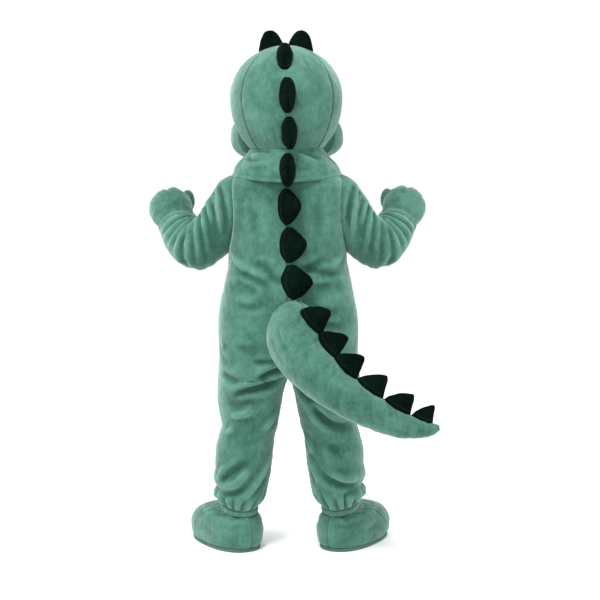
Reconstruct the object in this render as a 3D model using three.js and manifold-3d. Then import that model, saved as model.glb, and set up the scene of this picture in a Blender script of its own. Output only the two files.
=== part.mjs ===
// A full-body plush alligator mascot costume, hollow, in the pose of a wearer who holds both
// forearms up. Millimetres, +Z up, the face towards -Y, the wearer's left at +X.
// Heights in the tables are above the floor. The group's origin is at the wearer's shoulders.

import * as THREE from "three";
import { mergeVertices } from "three/addons/utils/BufferGeometryUtils.js";
import Module from "manifold-3d";

// Driving dimensions
const shoulderHeight = 1380;
const seamGap = 0.3;
const clothThickness = 3;
const cowlThickness = 4;
const headWall = 10;
const bootWall = 5;
const mittWall = 4;
const soleThickness = 12;
const bandHeight = 22;
const bandThickness = 4;
const gathersPerAnkle = 14;
const placketWidth = 46;
const placketThickness = 3;
const finestDetail = 0.05;

const head = { radiusX: 203, back: 208, front: 200, above: 190, below: 232, centreZ: 1657, neckZ: 1480 };
const ankle = { x: 189, y: 7, z: 143, rise: 0.25, radius: 68 };
const boot = { turnedOut: 34, sideShift: 4 };

const lastFoldHeight = 262;
const fleece = new THREE.Color(0x56937f);
const darkFleece = new THREE.Color(0x12241a);

// Body: one row for each level of one half, from the neck to the ankle. The half's section is
// centred on x = centre, and above the crotch it is cut off by the middle plane.
const bodySections = [
  { z: 1408, centre: 0, half: 150, back: 118, front: 112, shift: 0, square: 2.2 },
  { z: 1396, centre: 0, half: 176, back: 131, front: 126, shift: 0, square: 2.4 },
  { z: 1378, centre: 0, half: 195, back: 141, front: 138, shift: 0, square: 2.8 },
  { z: 1340, centre: 0, half: 204, back: 149, front: 150, shift: 0, square: 3.2 },
  { z: 1270, centre: 0, half: 207, back: 152, front: 164, shift: 0, square: 3.3 },
  { z: 1190, centre: 0, half: 209, back: 154, front: 176, shift: 0, square: 3.2 },
  { z: 1095, centre: 0, half: 213, back: 157, front: 188, shift: 0, square: 2.8 },
  { z: 1028, centre: 0, half: 223, back: 162, front: 194, shift: 0, square: 2.6 },
  { z: 984, centre: 0, half: 232, back: 167, front: 197, shift: 0, square: 2.5 },
  { z: 918, centre: 0, half: 246, back: 176, front: 198, shift: 0, square: 2.4 },
  { z: 851, centre: 0, half: 255, back: 184, front: 194, shift: 0, square: 2.4 },
  { z: 784, centre: 0, half: 256, back: 188, front: 186, shift: 0, square: 2.4 },
  { z: 730, centre: 14, half: 241, back: 186, front: 177, shift: 0, square: 2.4 },
  { z: 695, centre: 62, half: 194, back: 181, front: 170, shift: 0, square: 2.3 },
  { z: 668, centre: 108, half: 150, back: 175, front: 163, shift: 0, square: 2.2 },
  { z: 650, centre: 130, half: 130, back: 170, front: 157, shift: 0, square: 2.1 },
  { z: 627, centre: 136, half: 126, back: 164, front: 150, shift: 0, square: 2.1 },
  { z: 560, centre: 144, half: 120, back: 148, front: 138, shift: -2, square: 2.1 },
  { z: 514, centre: 145, half: 113, back: 138, front: 131, shift: -4, square: 2.1 },
  { z: 469, centre: 146, half: 105, back: 128, front: 124, shift: -4, square: 2.1 },
  { z: 424, centre: 158, half: 104, back: 122, front: 118, shift: -2, square: 2.1 },
  { z: 378, centre: 166, half: 107, back: 121, front: 114, shift: 0, square: 2.1 },
  { z: 333, centre: 170, half: 107, back: 119, front: 112, shift: 2, square: 2.1 },
  { z: 287, centre: 174, half: 105, back: 114, front: 109, shift: 4, square: 2.1 },
  { z: 241, centre: 178, half: 98, back: 104, front: 101, shift: 6, square: 2.1 },
  { z: 208, centre: 184, half: 89, back: 92, front: 90, shift: 7, square: 2.1 },
  { z: 180, centre: 189, half: 75, back: 76, front: 76, shift: 7, square: 2.0 },
  { z: 165.8, centre: 189, half: 68, back: 68, front: 68, shift: 7, square: 2.0 },
];

const crotchZ = 650;

// Levels of the body panels' rows, with the number of columns from there down
const bodyRows = [
  { from: 1408, to: 1378, steps: 2, columns: 7 },
  { from: 1378, to: 784, steps: 11, columns: 7 },
  { from: 784, to: 650, steps: 5, columns: 7 },
  { from: 650, to: 262, steps: 8, columns: 7 },
  { from: 262, to: 165.8, steps: 4, columns: gathersPerAnkle },
];

// Largest folds of the body, from one place to another on its back or front. A depth below
// zero is a trough. A fold with no mirror is on the wearer's own side that its x gives.
const bodyFolds = [
  { face: "back", fromX: 20, fromZ: 668, toX: 122, toZ: 622, width: 24, depth: -15, mirror: true },
  { face: "back", fromX: 40, fromZ: 612, toX: 214, toZ: 560, width: 27, depth: -10, mirror: true },
  { face: "back", fromX: 60, fromZ: 560, toX: 235, toZ: 470, width: 26, depth: 8, mirror: true },
  { face: "back", fromX: 75, fromZ: 470, toX: 240, toZ: 425, width: 25, depth: -9, mirror: true },
  { face: "back", fromX: 95, fromZ: 330, toX: 245, toZ: 270, width: 27, depth: 9, mirror: true },
  { face: "back", fromX: 105, fromZ: 390, toX: 260, toZ: 345, width: 24, depth: -8, mirror: true },
  { face: "back", fromX: 50, fromZ: 1000, toX: 205, toZ: 1062, width: 26, depth: -9, mirror: true },
  { face: "back", fromX: 70, fromZ: 930, toX: 222, toZ: 985, width: 28, depth: 8, mirror: true },
  { face: "back", fromX: 90, fromZ: 860, toX: 240, toZ: 920, width: 28, depth: -8, mirror: true },
  { face: "front", fromX: 30, fromZ: 660, toX: 150, toZ: 622, width: 26, depth: -13, mirror: true },
  { face: "front", fromX: 50, fromZ: 590, toX: 230, toZ: 545, width: 28, depth: -9, mirror: true },
  { face: "front", fromX: 80, fromZ: 455, toX: 235, toZ: 430, width: 26, depth: -9, mirror: true },
  { face: "front", fromX: 95, fromZ: 350, toX: 255, toZ: 300, width: 27, depth: 9, mirror: true },
  { face: "front", fromX: 60, fromZ: 1010, toX: 205, toZ: 1055, width: 28, depth: -8, mirror: true },
  { face: "front", fromX: 80, fromZ: 900, toX: 225, toZ: 950, width: 30, depth: 8, mirror: true },
];

// Left sleeve: rings from inside the armhole to the cuff. turn is the travel's slope in the
// front view, away its tilt towards the front; along is the radius in that slope's plane.
const sleeveSections = [
  { at: 0, x: 140, y: 0, z: 1248, turn: 3, away: 0, along: 144, across: 98 },
  { at: 1, x: 207, y: 0, z: 1240, turn: 3, away: 0, along: 145, across: 100 },
  { at: 2, x: 246, y: 5, z: 1218, turn: -1, away: 0, along: 138, across: 101 },
  { at: 3, x: 278, y: 11, z: 1184, turn: 0, away: 2, along: 130, across: 99 },
  { at: 4, x: 316, y: 16, z: 1156, turn: 7, away: 8, along: 115, across: 93 },
  { at: 5, x: 351, y: 10, z: 1148, turn: 21, away: 18, along: 95, across: 86 },
  { at: 6, x: 376, y: -14, z: 1163, turn: 39, away: 31, along: 82, across: 79 },
  { at: 7, x: 396, y: -54, z: 1188, turn: 58, away: 40, along: 75, across: 74 },
  { at: 8, x: 408, y: -92, z: 1205, turn: 67, away: 44, along: 70, across: 69 },
];

// Soft ridges round the sleeve where it is pushed together at the elbow
const sleeveFolds = [
  { at: 2.5, width: 0.22, depth: -6 },
  { at: 3.3, width: 0.24, depth: 5 },
  { at: 4.1, width: 0.24, depth: -7 },
  { at: 4.8, width: 0.24, depth: 5 },
  { at: 5.4, width: 0.24, depth: -7 },
  { at: 6.1, width: 0.26, depth: 5 },
  { at: 6.8, width: 0.26, depth: -6 },
  { at: 7.4, width: 0.24, depth: 4 },
];

// Left mitt: a bag of rings along the hand's own axis, from inside the cuff to the knuckles
const hand = { x: 408, y: -92, z: 1205, turn: 60, away: 45 };
const mittSections = [
  { along: -34, wide: 60, deep: 60 },
  { along: 6, wide: 63, deep: 62 },
  { along: 34, wide: 72, deep: 66 },
  { along: 66, wide: 80, deep: 70 },
  { along: 98, wide: 81, deep: 70 },
  { along: 128, wide: 72, deep: 62 },
  { along: 150, wide: 54, deep: 46 },
  { along: 164, wide: 28, deep: 24 },
  { along: 168, wide: 4, deep: 4 },
];
const fingerGrooves = [
  { angle: -62, width: 13, depth: -8 },
  { angle: -18, width: 13, depth: -8 },
];
const thumb = { along: 108, wide: 66, deep: 34, radius: 26, length: 42 };

// Cowl: from under the head to the hem on the shoulders
const cowlSections = [
  { at: 0, half: 128, deep: 132, sideZ: 1488, middleZ: 1488 },
  { at: 1, half: 140, deep: 144, sideZ: 1468, middleZ: 1464 },
  { at: 2, half: 156, deep: 156, sideZ: 1448, middleZ: 1440 },
  { at: 3, half: 178, deep: 168, sideZ: 1427, middleZ: 1412 },
  { at: 4, half: 193, deep: 176, sideZ: 1407, middleZ: 1386 },
  { at: 5, half: 199, deep: 177, sideZ: 1380, middleZ: 1361 },
];

// Boot: rings from the sole to the ankle, measured from the ankle's centre along the foot
const bootSections = [
  { at: 0, heel: -84, toe: 262, half: 96, heelZ: soleThickness + seamGap, toeZ: soleThickness + seamGap },
  { at: 1, heel: -93, toe: 271, half: 103, heelZ: 30, toeZ: 30 },
  { at: 2, heel: -95, toe: 272, half: 105, heelZ: 60, toeZ: 62 },
  { at: 3, heel: -93, toe: 258, half: 101, heelZ: 88, toeZ: 92 },
  { at: 4, heel: -87, toe: 226, half: 93, heelZ: 106, toeZ: 118 },
  { at: 5, heel: -80, toe: 176, half: 83, heelZ: 118, toeZ: 138 },
  { at: 6, heel: -73, toe: 114, half: 75, heelZ: 124, toeZ: 151 },
  { at: 7, heel: -68, toe: 68, half: 68, heelZ: 126, toeZ: 160 },
];

// Tail: rings from inside the seat to the tip, with the direction of its upper edge
const tailSections = [
  { at: 0, x: -8, y: 100, z: 850, upX: -0.1, upY: 0.3, upZ: 0.95, high: 118, wide: 98 },
  { at: 1, x: -24, y: 190, z: 812, upX: -0.35, upY: 0.3, upZ: 0.89, high: 112, wide: 95 },
  { at: 2, x: -62, y: 262, z: 748, upX: -0.68, upY: 0.25, upZ: 0.69, high: 95, wide: 88 },
  { at: 3, x: -130, y: 318, z: 680, upX: -0.66, upY: 0.1, upZ: 0.74, high: 80, wide: 78 },
  { at: 4, x: -216, y: 345, z: 619, upX: -0.55, upY: 0.05, upZ: 0.84, high: 68, wide: 66 },
  { at: 5, x: -313, y: 350, z: 563, upX: -0.44, upY: 0, upZ: 0.9, high: 57, wide: 57 },
  { at: 6, x: -407, y: 342, z: 522, upX: -0.27, upY: 0, upZ: 0.96, high: 43, wide: 43 },
  { at: 7, x: -484, y: 330, z: 508, upX: -0.05, upY: 0, upZ: 1, high: 27, wide: 27 },
  { at: 8, x: -524, y: 320, z: 512, upX: 0, upY: 0, upZ: 1, high: 11, wide: 11 },
];

// Stuffed snout and lower jaw: sections from inside the face to the tip
const snoutSections = [
  { at: 0, y: -90, half: 178, top: 1618, bottom: 1430 },
  { at: 1, y: -150, half: 207, top: 1622, bottom: 1425 },
  { at: 2, y: -210, half: 212, top: 1614, bottom: 1428 },
  { at: 3, y: -275, half: 196, top: 1594, bottom: 1436 },
  { at: 4, y: -340, half: 178, top: 1581, bottom: 1444 },
  { at: 5, y: -395, half: 150, top: 1571, bottom: 1453 },
  { at: 6, y: -420, half: 96, top: 1549, bottom: 1472 },
];
const jawSections = [
  { at: 0, y: -90, half: 124, top: 1456, bottom: 1406 },
  { at: 1, y: -150, half: 154, top: 1456, bottom: 1396 },
  { at: 2, y: -210, half: 164, top: 1456, bottom: 1392 },
  { at: 3, y: -275, half: 162, top: 1458, bottom: 1396 },
  { at: 4, y: -335, half: 148, top: 1462, bottom: 1406 },
  { at: 5, y: -378, half: 124, top: 1466, bottom: 1420 },
  { at: 6, y: -398, half: 80, top: 1466, bottom: 1438 },
];

// How far a plate's tip is swept back, and its rows from under its foot to the tip
const plateSweep = { head: 22, cowl: 22, back: -6, tail: 22 };
const plateLevels = [-0.42, 0.1, 0.4, 0.68, 0.86, 0.97];

// Plates of the spine: on the head and cowl by angle from the crown or height, then down the
// back, then along the tail. lean turns a plate about its foot towards the wearer's right.
const plates = [
  { on: "head", place: 42, x: 3, lean: 0, length: 128, height: 68, thick: 60 },
  { on: "head", place: 88, x: -6, lean: 3, length: 128, height: 70, thick: 60 },
  { on: "head", place: 122, x: -11, lean: 4, length: 124, height: 70, thick: 60 },
  { on: "cowl", place: 1408, x: -4, lean: 2, length: 120, height: 66, thick: 58 },
  { on: "back", place: 1274, x: -2, lean: 34, length: 134, height: 80, thick: 60 },
  { on: "back", place: 1138, x: -11, lean: 42, length: 134, height: 84, thick: 60 },
  { on: "back", place: 1006, x: -22, lean: 48, length: 132, height: 88, thick: 60 },
  { on: "tail", place: 1.28, x: 0, lean: 0, length: 118, height: 86, thick: 58 },
  { on: "tail", place: 2.28, x: 0, lean: 0, length: 120, height: 84, thick: 56 },
  { on: "tail", place: 3.26, x: 0, lean: 0, length: 122, height: 78, thick: 54 },
  { on: "tail", place: 4.33, x: 0, lean: 0, length: 118, height: 74, thick: 50 },
  { on: "tail", place: 5.42, x: 0, lean: 0, length: 114, height: 70, thick: 44 },
  { on: "tail", place: 6.6, x: 0, lean: 0, length: 88, height: 62, thick: 34 },
];

// Library that joins and cuts closed meshes
const wasm = await Module();
wasm.setup();

const radians = THREE.MathUtils.degToRad;
const clamp = THREE.MathUtils.clamp;
const smoothstep = THREE.MathUtils.smoothstep;

// All columns of a table at one value of its key, along a smooth curve that never overshoots
function sample(table, key, value) {
  const last = table.length - 1;
  const rising = table[last][key] > table[0][key];
  let low = 0;
  while (low < last - 1 && (rising ? value > table[low + 1][key] : value < table[low + 1][key])) low += 1;
  const slope = (n, name) => (table[n + 1][name] - table[n][name]) / (table[n + 1][key] - table[n][key]);
  const tangent = (n, name) => {
    if (n === 0) return slope(0, name);
    if (n === last) return slope(last - 1, name);
    const before = slope(n - 1, name);
    const after = slope(n, name);
    return before * after > 0 ? (2 * before * after) / (before + after) : 0;
  };
  const from = table[low];
  const to = table[low + 1];
  const span = to[key] - from[key];
  const t = clamp((value - from[key]) / span, 0, 1);
  const result = {};
  for (const name of Object.keys(from)) {
    const start = from[name];
    const end = to[name];
    const rise = span * tangent(low, name);
    const fall = span * tangent(low + 1, name);
    const bend = (t * t * (3 - 2 * t)) * (end - start);
    result[name] = start + bend + t * (1 - t) * ((1 - t) * rise - t * fall);
  }
  return result;
}

// Triangles between two rows of points whose u runs from 0 to 1, with any number in each
function zip(upper, lower, triangles) {
  let i = 0;
  let j = 0;
  while (i < upper.length - 1 || j < lower.length - 1) {
    const stepUpper = j === lower.length - 1
      || (i < upper.length - 1 && upper[i + 1].u + upper[i].u <= lower[j + 1].u + lower[j].u);
    if (stepUpper) {
      triangles.push(upper[i].index, lower[j].index, upper[i + 1].index);
      i += 1;
    } else {
      triangles.push(upper[i].index, lower[j].index, lower[j + 1].index);
      j += 1;
    }
  }
}

// A closed geometry from points and triangles, with shared points merged and its faces out
function closedGeometry(points, triangles) {
  const geometry = new THREE.BufferGeometry();
  geometry.setAttribute("position", new THREE.Float32BufferAttribute(points.flatMap((p) => p.toArray()), 3));
  geometry.setIndex(triangles);
  const merged = mergeVertices(geometry, 1e-3);
  const index = merged.index.array;
  const kept = [];
  for (let n = 0; n < index.length; n += 3) {
    const [a, b, c] = [index[n], index[n + 1], index[n + 2]];
    if (a !== b && b !== c && a !== c) kept.push(a, b, c);
  }
  if (volumeOf(merged.attributes.position, kept) < 0) kept.reverse();
  merged.setIndex(kept);
  return merged;
}

function volumeOf(position, index) {
  const [a, b, c] = [new THREE.Vector3(), new THREE.Vector3(), new THREE.Vector3()];
  let sum = 0;
  for (let n = 0; n < index.length; n += 3) {
    a.fromBufferAttribute(position, index[n]);
    b.fromBufferAttribute(position, index[n + 1]);
    c.fromBufferAttribute(position, index[n + 2]);
    sum += a.dot(b.cross(c)) / 6;
  }
  return sum;
}

// The unit normal of a surface(u, v), away from the place named inside
function normalOf(surface, u, v, inside) {
  const e = 1e-3;
  const across = surface(u + e, v).sub(surface(u - e, v));
  const down = surface(u, v + e).sub(surface(u, v - e));
  const normal = across.cross(down).normalize();
  return surface(u, v).sub(inside).dot(normal) < 0 ? normal.negate() : normal;
}

// Rows of points on a surface, raised along its normal by the relief and the lift
function rowsOf(surface, { rows, inside, relief = () => 0, lift = 0 }, points) {
  return rows.map(({ v, columns }) => {
    const row = [];
    for (let n = 0; n <= columns; n += 1) {
      const u = n / columns;
      const point = surface(u, v);
      const normal = normalOf(surface, u, v, inside(v));
      row.push({ u, index: points.length });
      points.push(point.addScaledVector(normal, relief(point, u, v) + lift));
    }
    return row;
  });
}

// A sheet of cloth of even thickness on the inner side of a surface, closed round its edges
function clothWall(surface, options) {
  const points = [];
  const triangles = [];
  const lift = options.lift ?? 0;
  const outer = rowsOf(surface, { ...options, lift }, points);
  const inner = rowsOf(surface, { ...options, lift: lift - options.thickness }, points);
  const rim = (a, b) => zip(a, b, triangles);
  for (let n = 0; n < outer.length - 1; n += 1) {
    zip(outer[n], outer[n + 1], triangles);
    const under = [];
    zip(inner[n], inner[n + 1], under);
    triangles.push(...under.reverse());
  }
  rim(inner[0], outer[0]);
  rim(outer.at(-1), inner.at(-1));
  if (!options.ring) {
    const edge = (rows, end) => rows.map((row, n) => ({ u: n, index: row.at(end).index }));
    zip(edge(outer, 0), edge(inner, 0), triangles);
    zip(edge(inner, -1), edge(outer, -1), triangles);
  }
  return closedGeometry(points, triangles);
}

// Closes a ring with a fan from its middle
function capRing(ring, points, triangles, last) {
  const middle = new THREE.Vector3();
  for (const { index } of ring.slice(1)) middle.add(points[index]);
  middle.divideScalar(ring.length - 1);
  for (let n = 0; n < ring.length - 1; n += 1) {
    const [a, b] = [ring[n].index, ring[n + 1].index];
    triangles.push(...(last ? [b, a] : [a, b]), points.length);
  }
  points.push(middle);
}

// A filled body inside rings of a surface, with flat ends
function filledBody(surface, options) {
  const points = [];
  const triangles = [];
  const rings = rowsOf(surface, options, points);
  for (let n = 0; n < rings.length - 1; n += 1) zip(rings[n], rings[n + 1], triangles);
  capRing(rings[0], points, triangles, false);
  capRing(rings.at(-1), points, triangles, true);
  return closedGeometry(points, triangles);
}

// The filled form inside panels that follow each other round a piece, from their own points
function formOf(panels, lift) {
  const points = [];
  const triangles = [];
  const around = panels.map(([surface, options]) => rowsOf(surface, { ...options, lift }, points));
  const rings = around[0].map((_, n) => {
    const ring = around.flatMap((rows, k) => rows[n].map(({ u, index }) => ({ u: k + u * 0.99, index })));
    return [...ring, { u: panels.length, index: ring[0].index }];
  });
  for (let n = 0; n < rings.length - 1; n += 1) zip(rings[n], rings[n + 1], triangles);
  capRing(rings[0], points, triangles, false);
  capRing(rings.at(-1), points, triangles, true);
  return closedGeometry(points, triangles);
}

function solidOf(geometry) {
  const mesh = new wasm.Mesh({
    numProp: 3,
    vertProperties: new Float32Array(geometry.attributes.position.array),
    triVerts: new Uint32Array(geometry.index.array),
  });
  return new wasm.Manifold(mesh);
}

// The largest body that is left of a geometry when the cutters are taken from it
function cutBy(geometry, ...cutters) {
  let solid = solidOf(geometry);
  for (const cutter of cutters) solid = solid.subtract(solidOf(cutter));
  const bodies = solid.decompose().sort((a, b) => b.volume() - a.volume());
  const mesh = bodies[0].simplify(finestDetail).getMesh();
  const result = new THREE.BufferGeometry();
  result.setAttribute("position", new THREE.Float32BufferAttribute(mesh.vertProperties, 3));
  result.setIndex([...mesh.triVerts]);
  return result;
}

// Even rows from one v to another
function evenRows(from, to, steps, columns) {
  return Array.from({ length: steps + 1 }, (_, n) => ({ v: from + ((to - from) * n) / steps, columns }));
}

// How strongly a long soft fold is felt at a point: its path is a few points on the surface
function foldAt(point, path, width, depth) {
  let nearest = Infinity;
  const line = new THREE.Line3();
  const foot = new THREE.Vector3();
  for (let n = 0; n < path.length - 1; n += 1) {
    line.set(path[n], path[n + 1]);
    line.closestPointToPoint(point, true, foot);
    nearest = Math.min(nearest, foot.distanceTo(point));
  }
  return depth * Math.exp(-((nearest / width) ** 2));
}

// Body

// Radius of a rounded section at an angle from the back
function sectionRadius(angle, half, depth, square) {
  const across = Math.abs(Math.sin(angle) / half) ** square;
  const along = Math.abs(Math.cos(angle) / depth) ** square;
  return (across + along) ** (-1 / square);
}

// A point of a flat rounded section, with the points spread evenly round it
function flatSection(around, half, depth, square) {
  const angle = Math.atan2(half * Math.sin(around), depth * Math.cos(around));
  const radius = sectionRadius(angle, half, depth, square);
  return [radius * Math.sin(angle), radius * Math.cos(angle)];
}

// A point of one half of the body; angle 0 is its back, 90 its outer side, 180 its front
function bodyPoint(side, angle, z) {
  const s = sample(bodySections, "z", z);
  const depth = Math.cos(angle) >= 0 ? s.back : s.front;
  const radius = sectionRadius(angle, s.half, depth, s.square);
  const x = s.centre + radius * Math.sin(angle);
  const y = s.shift + radius * Math.cos(angle);
  const outX = x - ankle.x;
  const alongFoot = outX * Math.sin(radians(boot.turnedOut)) - (y - ankle.y) * Math.cos(radians(boot.turnedOut));
  const tilt = ankle.rise * (1 - smoothstep(z, bodySections.at(-1).z, lastFoldHeight));
  return new THREE.Vector3(side * x, y, z + tilt * alongFoot);
}

// The angle at which a half's section meets the middle plane, or the inseam below the crotch
function middleAngle(z, depthName) {
  const s = sample(bodySections, "z", z);
  const reach = seamGap / 2 - s.centre;
  const inseam = -Math.PI / 2 + seamGap / 2 / s.half;
  if (reach <= -s.half) return inseam;
  const along = s[depthName] * (1 - Math.abs(reach / s.half) ** s.square) ** (1 / s.square);
  return Math.max(inseam, Math.atan2(reach, along));
}

// All panels run the same way round: from the middle of the back past the left side
function bodySurface(side, face) {
  const fromMiddle = (side > 0) === (face === "back");
  return (u, v) => {
    const s = sample(bodySections, "z", v);
    const middle = middleAngle(v, face);
    const outer = Math.PI / 2 - seamGap / 2 / s.half;
    const angle = middle + (outer - middle) * (fromMiddle ? u : 1 - u);
    return bodyPoint(side, face === "back" ? angle : Math.PI - angle, v);
  };
}

function onBodyFace(face, x, z) {
  const s = sample(bodySections, "z", z);
  const reach = clamp((Math.abs(x) - s.centre) / s.half, -1, 1);
  const along = s[face] * (1 - Math.abs(reach) ** s.square) ** (1 / s.square);
  return new THREE.Vector3(x, s.shift + (face === "back" ? along : -along), z);
}

const bodyFoldPaths = bodyFolds.flatMap((fold) => {
  const sides = fold.mirror ? [1, -1] : [1];
  return sides.map((side) => ({
    ...fold,
    path: [0, 0.25, 0.5, 0.75, 1].map((t) => {
      const x = side * (fold.fromX + (fold.toX - fold.fromX) * t);
      return onBodyFace(fold.face, x, fold.fromZ + (fold.toZ - fold.fromZ) * t);
    }),
  }));
});

function bodyRelief(point) {
  return bodyFoldPaths.reduce((sum, f) => sum + foldAt(point, f.path, f.width, f.depth), 0);
}

// Gathers at the ankle, one for each two columns of a panel
function ankleGathers(u, v) {
  const fade = smoothstep(v, 166, 190) * (1 - smoothstep(v, 205, lastFoldHeight));
  return 7 * fade * Math.cos(Math.PI * gathersPerAnkle * u) + 2 * fade;
}

const bodyRowList = bodyRows.flatMap(({ from, to, steps, columns }, n) =>
  evenRows(from, to, steps, columns).slice(n === 0 ? 0 : 1));

const insideBody = (side) => (z) => {
  const s = sample(bodySections, "z", z);
  return new THREE.Vector3(side * Math.max(s.centre, s.half * 0.3), s.shift, z);
};

const panelOptions = (side) => ({
  rows: bodyRowList,
  inside: insideBody(side),
  thickness: clothThickness,
  relief: (point, u, v) => bodyRelief(point) + ankleGathers(u, v),
});

// The body above the crotch as a filled form, moved out by the lift
function bodyForm(lift) {
  const rows = bodyRowList.filter(({ v }) => v > crotchZ + 8);
  const order = [[1, "back"], [1, "front"], [-1, "front"], [-1, "back"]];
  return formOf(order.map(([side, face]) => [bodySurface(side, face), { ...panelOptions(side), rows }]), lift);
}

// Sleeves

function sleevePoint(side, around, at) {
  const s = sample(sleeveSections, "at", at);
  const turn = radians(s.turn);
  const away = radians(s.away);
  const inPlane = new THREE.Vector3(-Math.sin(turn), 0, Math.cos(turn));
  const travel = new THREE.Vector3(Math.cos(turn) * Math.cos(away), -Math.sin(away), Math.sin(turn) * Math.cos(away));
  const across = new THREE.Vector3().crossVectors(travel, inPlane);
  const point = new THREE.Vector3(s.x, s.y, s.z)
    .addScaledVector(inPlane, s.along * Math.cos(around))
    .addScaledVector(across, s.across * Math.sin(around));
  point.x *= side;
  return point;
}

const sleeveRows = [0.5, 1.2, 1.9, 2.5, 2.9, 3.3, 3.7, 4.1, 4.45, 4.8, 5.1, 5.4, 5.75, 6.1, 6.45]
  .concat([6.8, 7.1, 7.4, 8])
  .map((v) => ({ v, columns: 12 }));

function sleeveOptions(side) {
  return {
    rows: sleeveRows,
    ring: true,
    inside: (at) => {
      const s = sample(sleeveSections, "at", at);
      return new THREE.Vector3(side * s.x, s.y, s.z);
    },
    relief: (_, u, v) => sleeveFolds.reduce((sum, fold) =>
      sum + fold.depth * Math.exp(-(((v - fold.at) / fold.width) ** 2)), 0) * smoothstep(v, 1.5, 2.5),
  };
}

const sleeveSurface = (side) => (u, v) => sleevePoint(side, 2 * Math.PI * u, v);

// Mitts

function handFrame(side) {
  const turn = radians(hand.turn);
  const away = radians(hand.away);
  const travel = new THREE.Vector3(Math.cos(turn) * Math.cos(away), -Math.sin(away), Math.sin(turn) * Math.cos(away));
  const wide = new THREE.Vector3(-Math.sin(turn), 0, Math.cos(turn));
  const deep = new THREE.Vector3().crossVectors(travel, wide);
  const place = (along, across, depth) => {
    const point = new THREE.Vector3(hand.x, hand.y, hand.z)
      .addScaledVector(travel, along)
      .addScaledVector(wide, across)
      .addScaledVector(deep, depth);
    point.x *= side;
    return point;
  };
  return place;
}

function mittSurface(side) {
  const place = handFrame(side);
  return (u, v) => {
    const s = sample(mittSections, "along", v);
    const around = 2 * Math.PI * u;
    return place(v, s.wide * Math.cos(around), s.deep * Math.sin(around));
  };
}

function mittOptions(side) {
  const place = handFrame(side);
  return {
    rows: [-34, 6, 34, 66, 98, 128, 150, 164].map((v) => ({ v, columns: 14 })),
    ring: true,
    inside: (v) => place(Math.min(v, 120), 0, 0),
    relief: (_, u, v) => {
      const fade = smoothstep(v, 60, 110) * (1 - smoothstep(v, 150, 166));
      return fingerGrooves.reduce((sum, groove) => {
        const turn = Math.abs(((360 * u - groove.angle + 540) % 360) - 180);
        return sum + groove.depth * fade * Math.exp(-((turn / groove.width) ** 2));
      }, 0);
    },
  };
}

// A rounded ball, stretched along three axes, as a closed body
function ballGeometry(centre, radii, columns = 10, rows = 7) {
  const geometry = new THREE.SphereGeometry(1, columns, rows);
  geometry.deleteAttribute("normal");
  geometry.deleteAttribute("uv");
  geometry.scale(radii.x, radii.y, radii.z);
  geometry.translate(centre.x, centre.y, centre.z);
  const merged = mergeVertices(geometry, 1e-3);
  const points = [];
  for (let n = 0; n < merged.attributes.position.count; n += 1) {
    points.push(new THREE.Vector3().fromBufferAttribute(merged.attributes.position, n));
  }
  return closedGeometry(points, [...merged.index.array]);
}

// Head

function headPoint(around, down) {
  const across = Math.sin(down);
  const depth = Math.cos(around) >= 0 ? head.back : head.front;
  const tall = Math.cos(down) >= 0 ? head.above : head.below;
  return new THREE.Vector3(
    head.radiusX * across * Math.sin(around),
    depth * across * Math.cos(around),
    head.centreZ + tall * Math.cos(down),
  );
}

const headCentre = () => new THREE.Vector3(0, 0, head.centreZ);
const neckAngle = Math.acos((head.neckZ - head.centreZ) / head.below);
const crownAngle = radians(0.8);

// Half the gap between panels, as an angle round the head at one distance from the crown
const panelInset = (down) => seamGap / 2 / (head.radiusX * Math.max(Math.sin(down), 0.01));

function headPanel(fromDegrees, toDegrees, columns) {
  const surface = (u, v) => {
    const inset = panelInset(v);
    const from = radians(fromDegrees) + inset;
    const to = radians(toDegrees) - inset;
    return headPoint(from + (to - from) * u, v);
  };
  const rows = [crownAngle, radians(8), radians(18), radians(32), radians(48), radians(64), radians(80)]
    .concat([radians(96), radians(112), radians(127), neckAngle])
    .map((v) => ({ v, columns: Math.max(1, Math.round(columns * Math.sin(Math.min(v * 1.6, Math.PI / 2)))) }));
  return [surface, { rows, inside: headCentre, thickness: headWall }];
}

function cowlSurface(u, v) {
  const s = sample(cowlSections, "at", v);
  const around = 2 * Math.PI * u;
  const share = Math.cos(around) ** 2;
  const wave = 1.5 * smoothstep(v, 3, 5) * Math.cos(5 * around + 0.6);
  return new THREE.Vector3(
    (s.half + wave) * Math.sin(around),
    (s.deep + wave) * Math.cos(around),
    s.sideZ + (s.middleZ - s.sideZ) * share,
  );
}

const cowlOptions = {
  rows: evenRows(0, 5, 5, 26),
  ring: true,
  inside: (v) => new THREE.Vector3(0, 0, sample(cowlSections, "at", v).middleZ - 60),
};

// Boots

function bootPoint(side, angle, at) {
  const s = sample(bootSections, "at", at);
  const middle = (s.heel + s.toe) / 2;
  const reach = (s.toe - s.heel) / 2;
  const radius = sectionRadius(angle, s.half, reach, 2.3);
  const along = middle - radius * Math.cos(angle);
  const across = radius * Math.sin(angle) + boot.sideShift * (1 - at / 7);
  const turn = radians(boot.turnedOut);
  const x = ankle.x + along * Math.sin(turn) + across * Math.cos(turn);
  const y = ankle.y - along * Math.cos(turn) + across * Math.sin(turn);
  const z = s.heelZ + ((s.toeZ - s.heelZ) * (along - s.heel)) / (s.toe - s.heel);
  return new THREE.Vector3(side * x, y, z);
}

function bootPanel(side, outer) {
  const inset = seamGap / 2 / 90;
  const surface = (u, v) => bootPoint(side, (outer ? 1 : -1) * (inset + (Math.PI - 2 * inset) * u), v);
  return clothWall(surface, {
    rows: evenRows(0, 7, 7, 8),
    thickness: bootWall,
    inside: (v) => bootPoint(side, 0, v).lerp(bootPoint(side, Math.PI, v), 0.5).setZ(40),
  });
}

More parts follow.
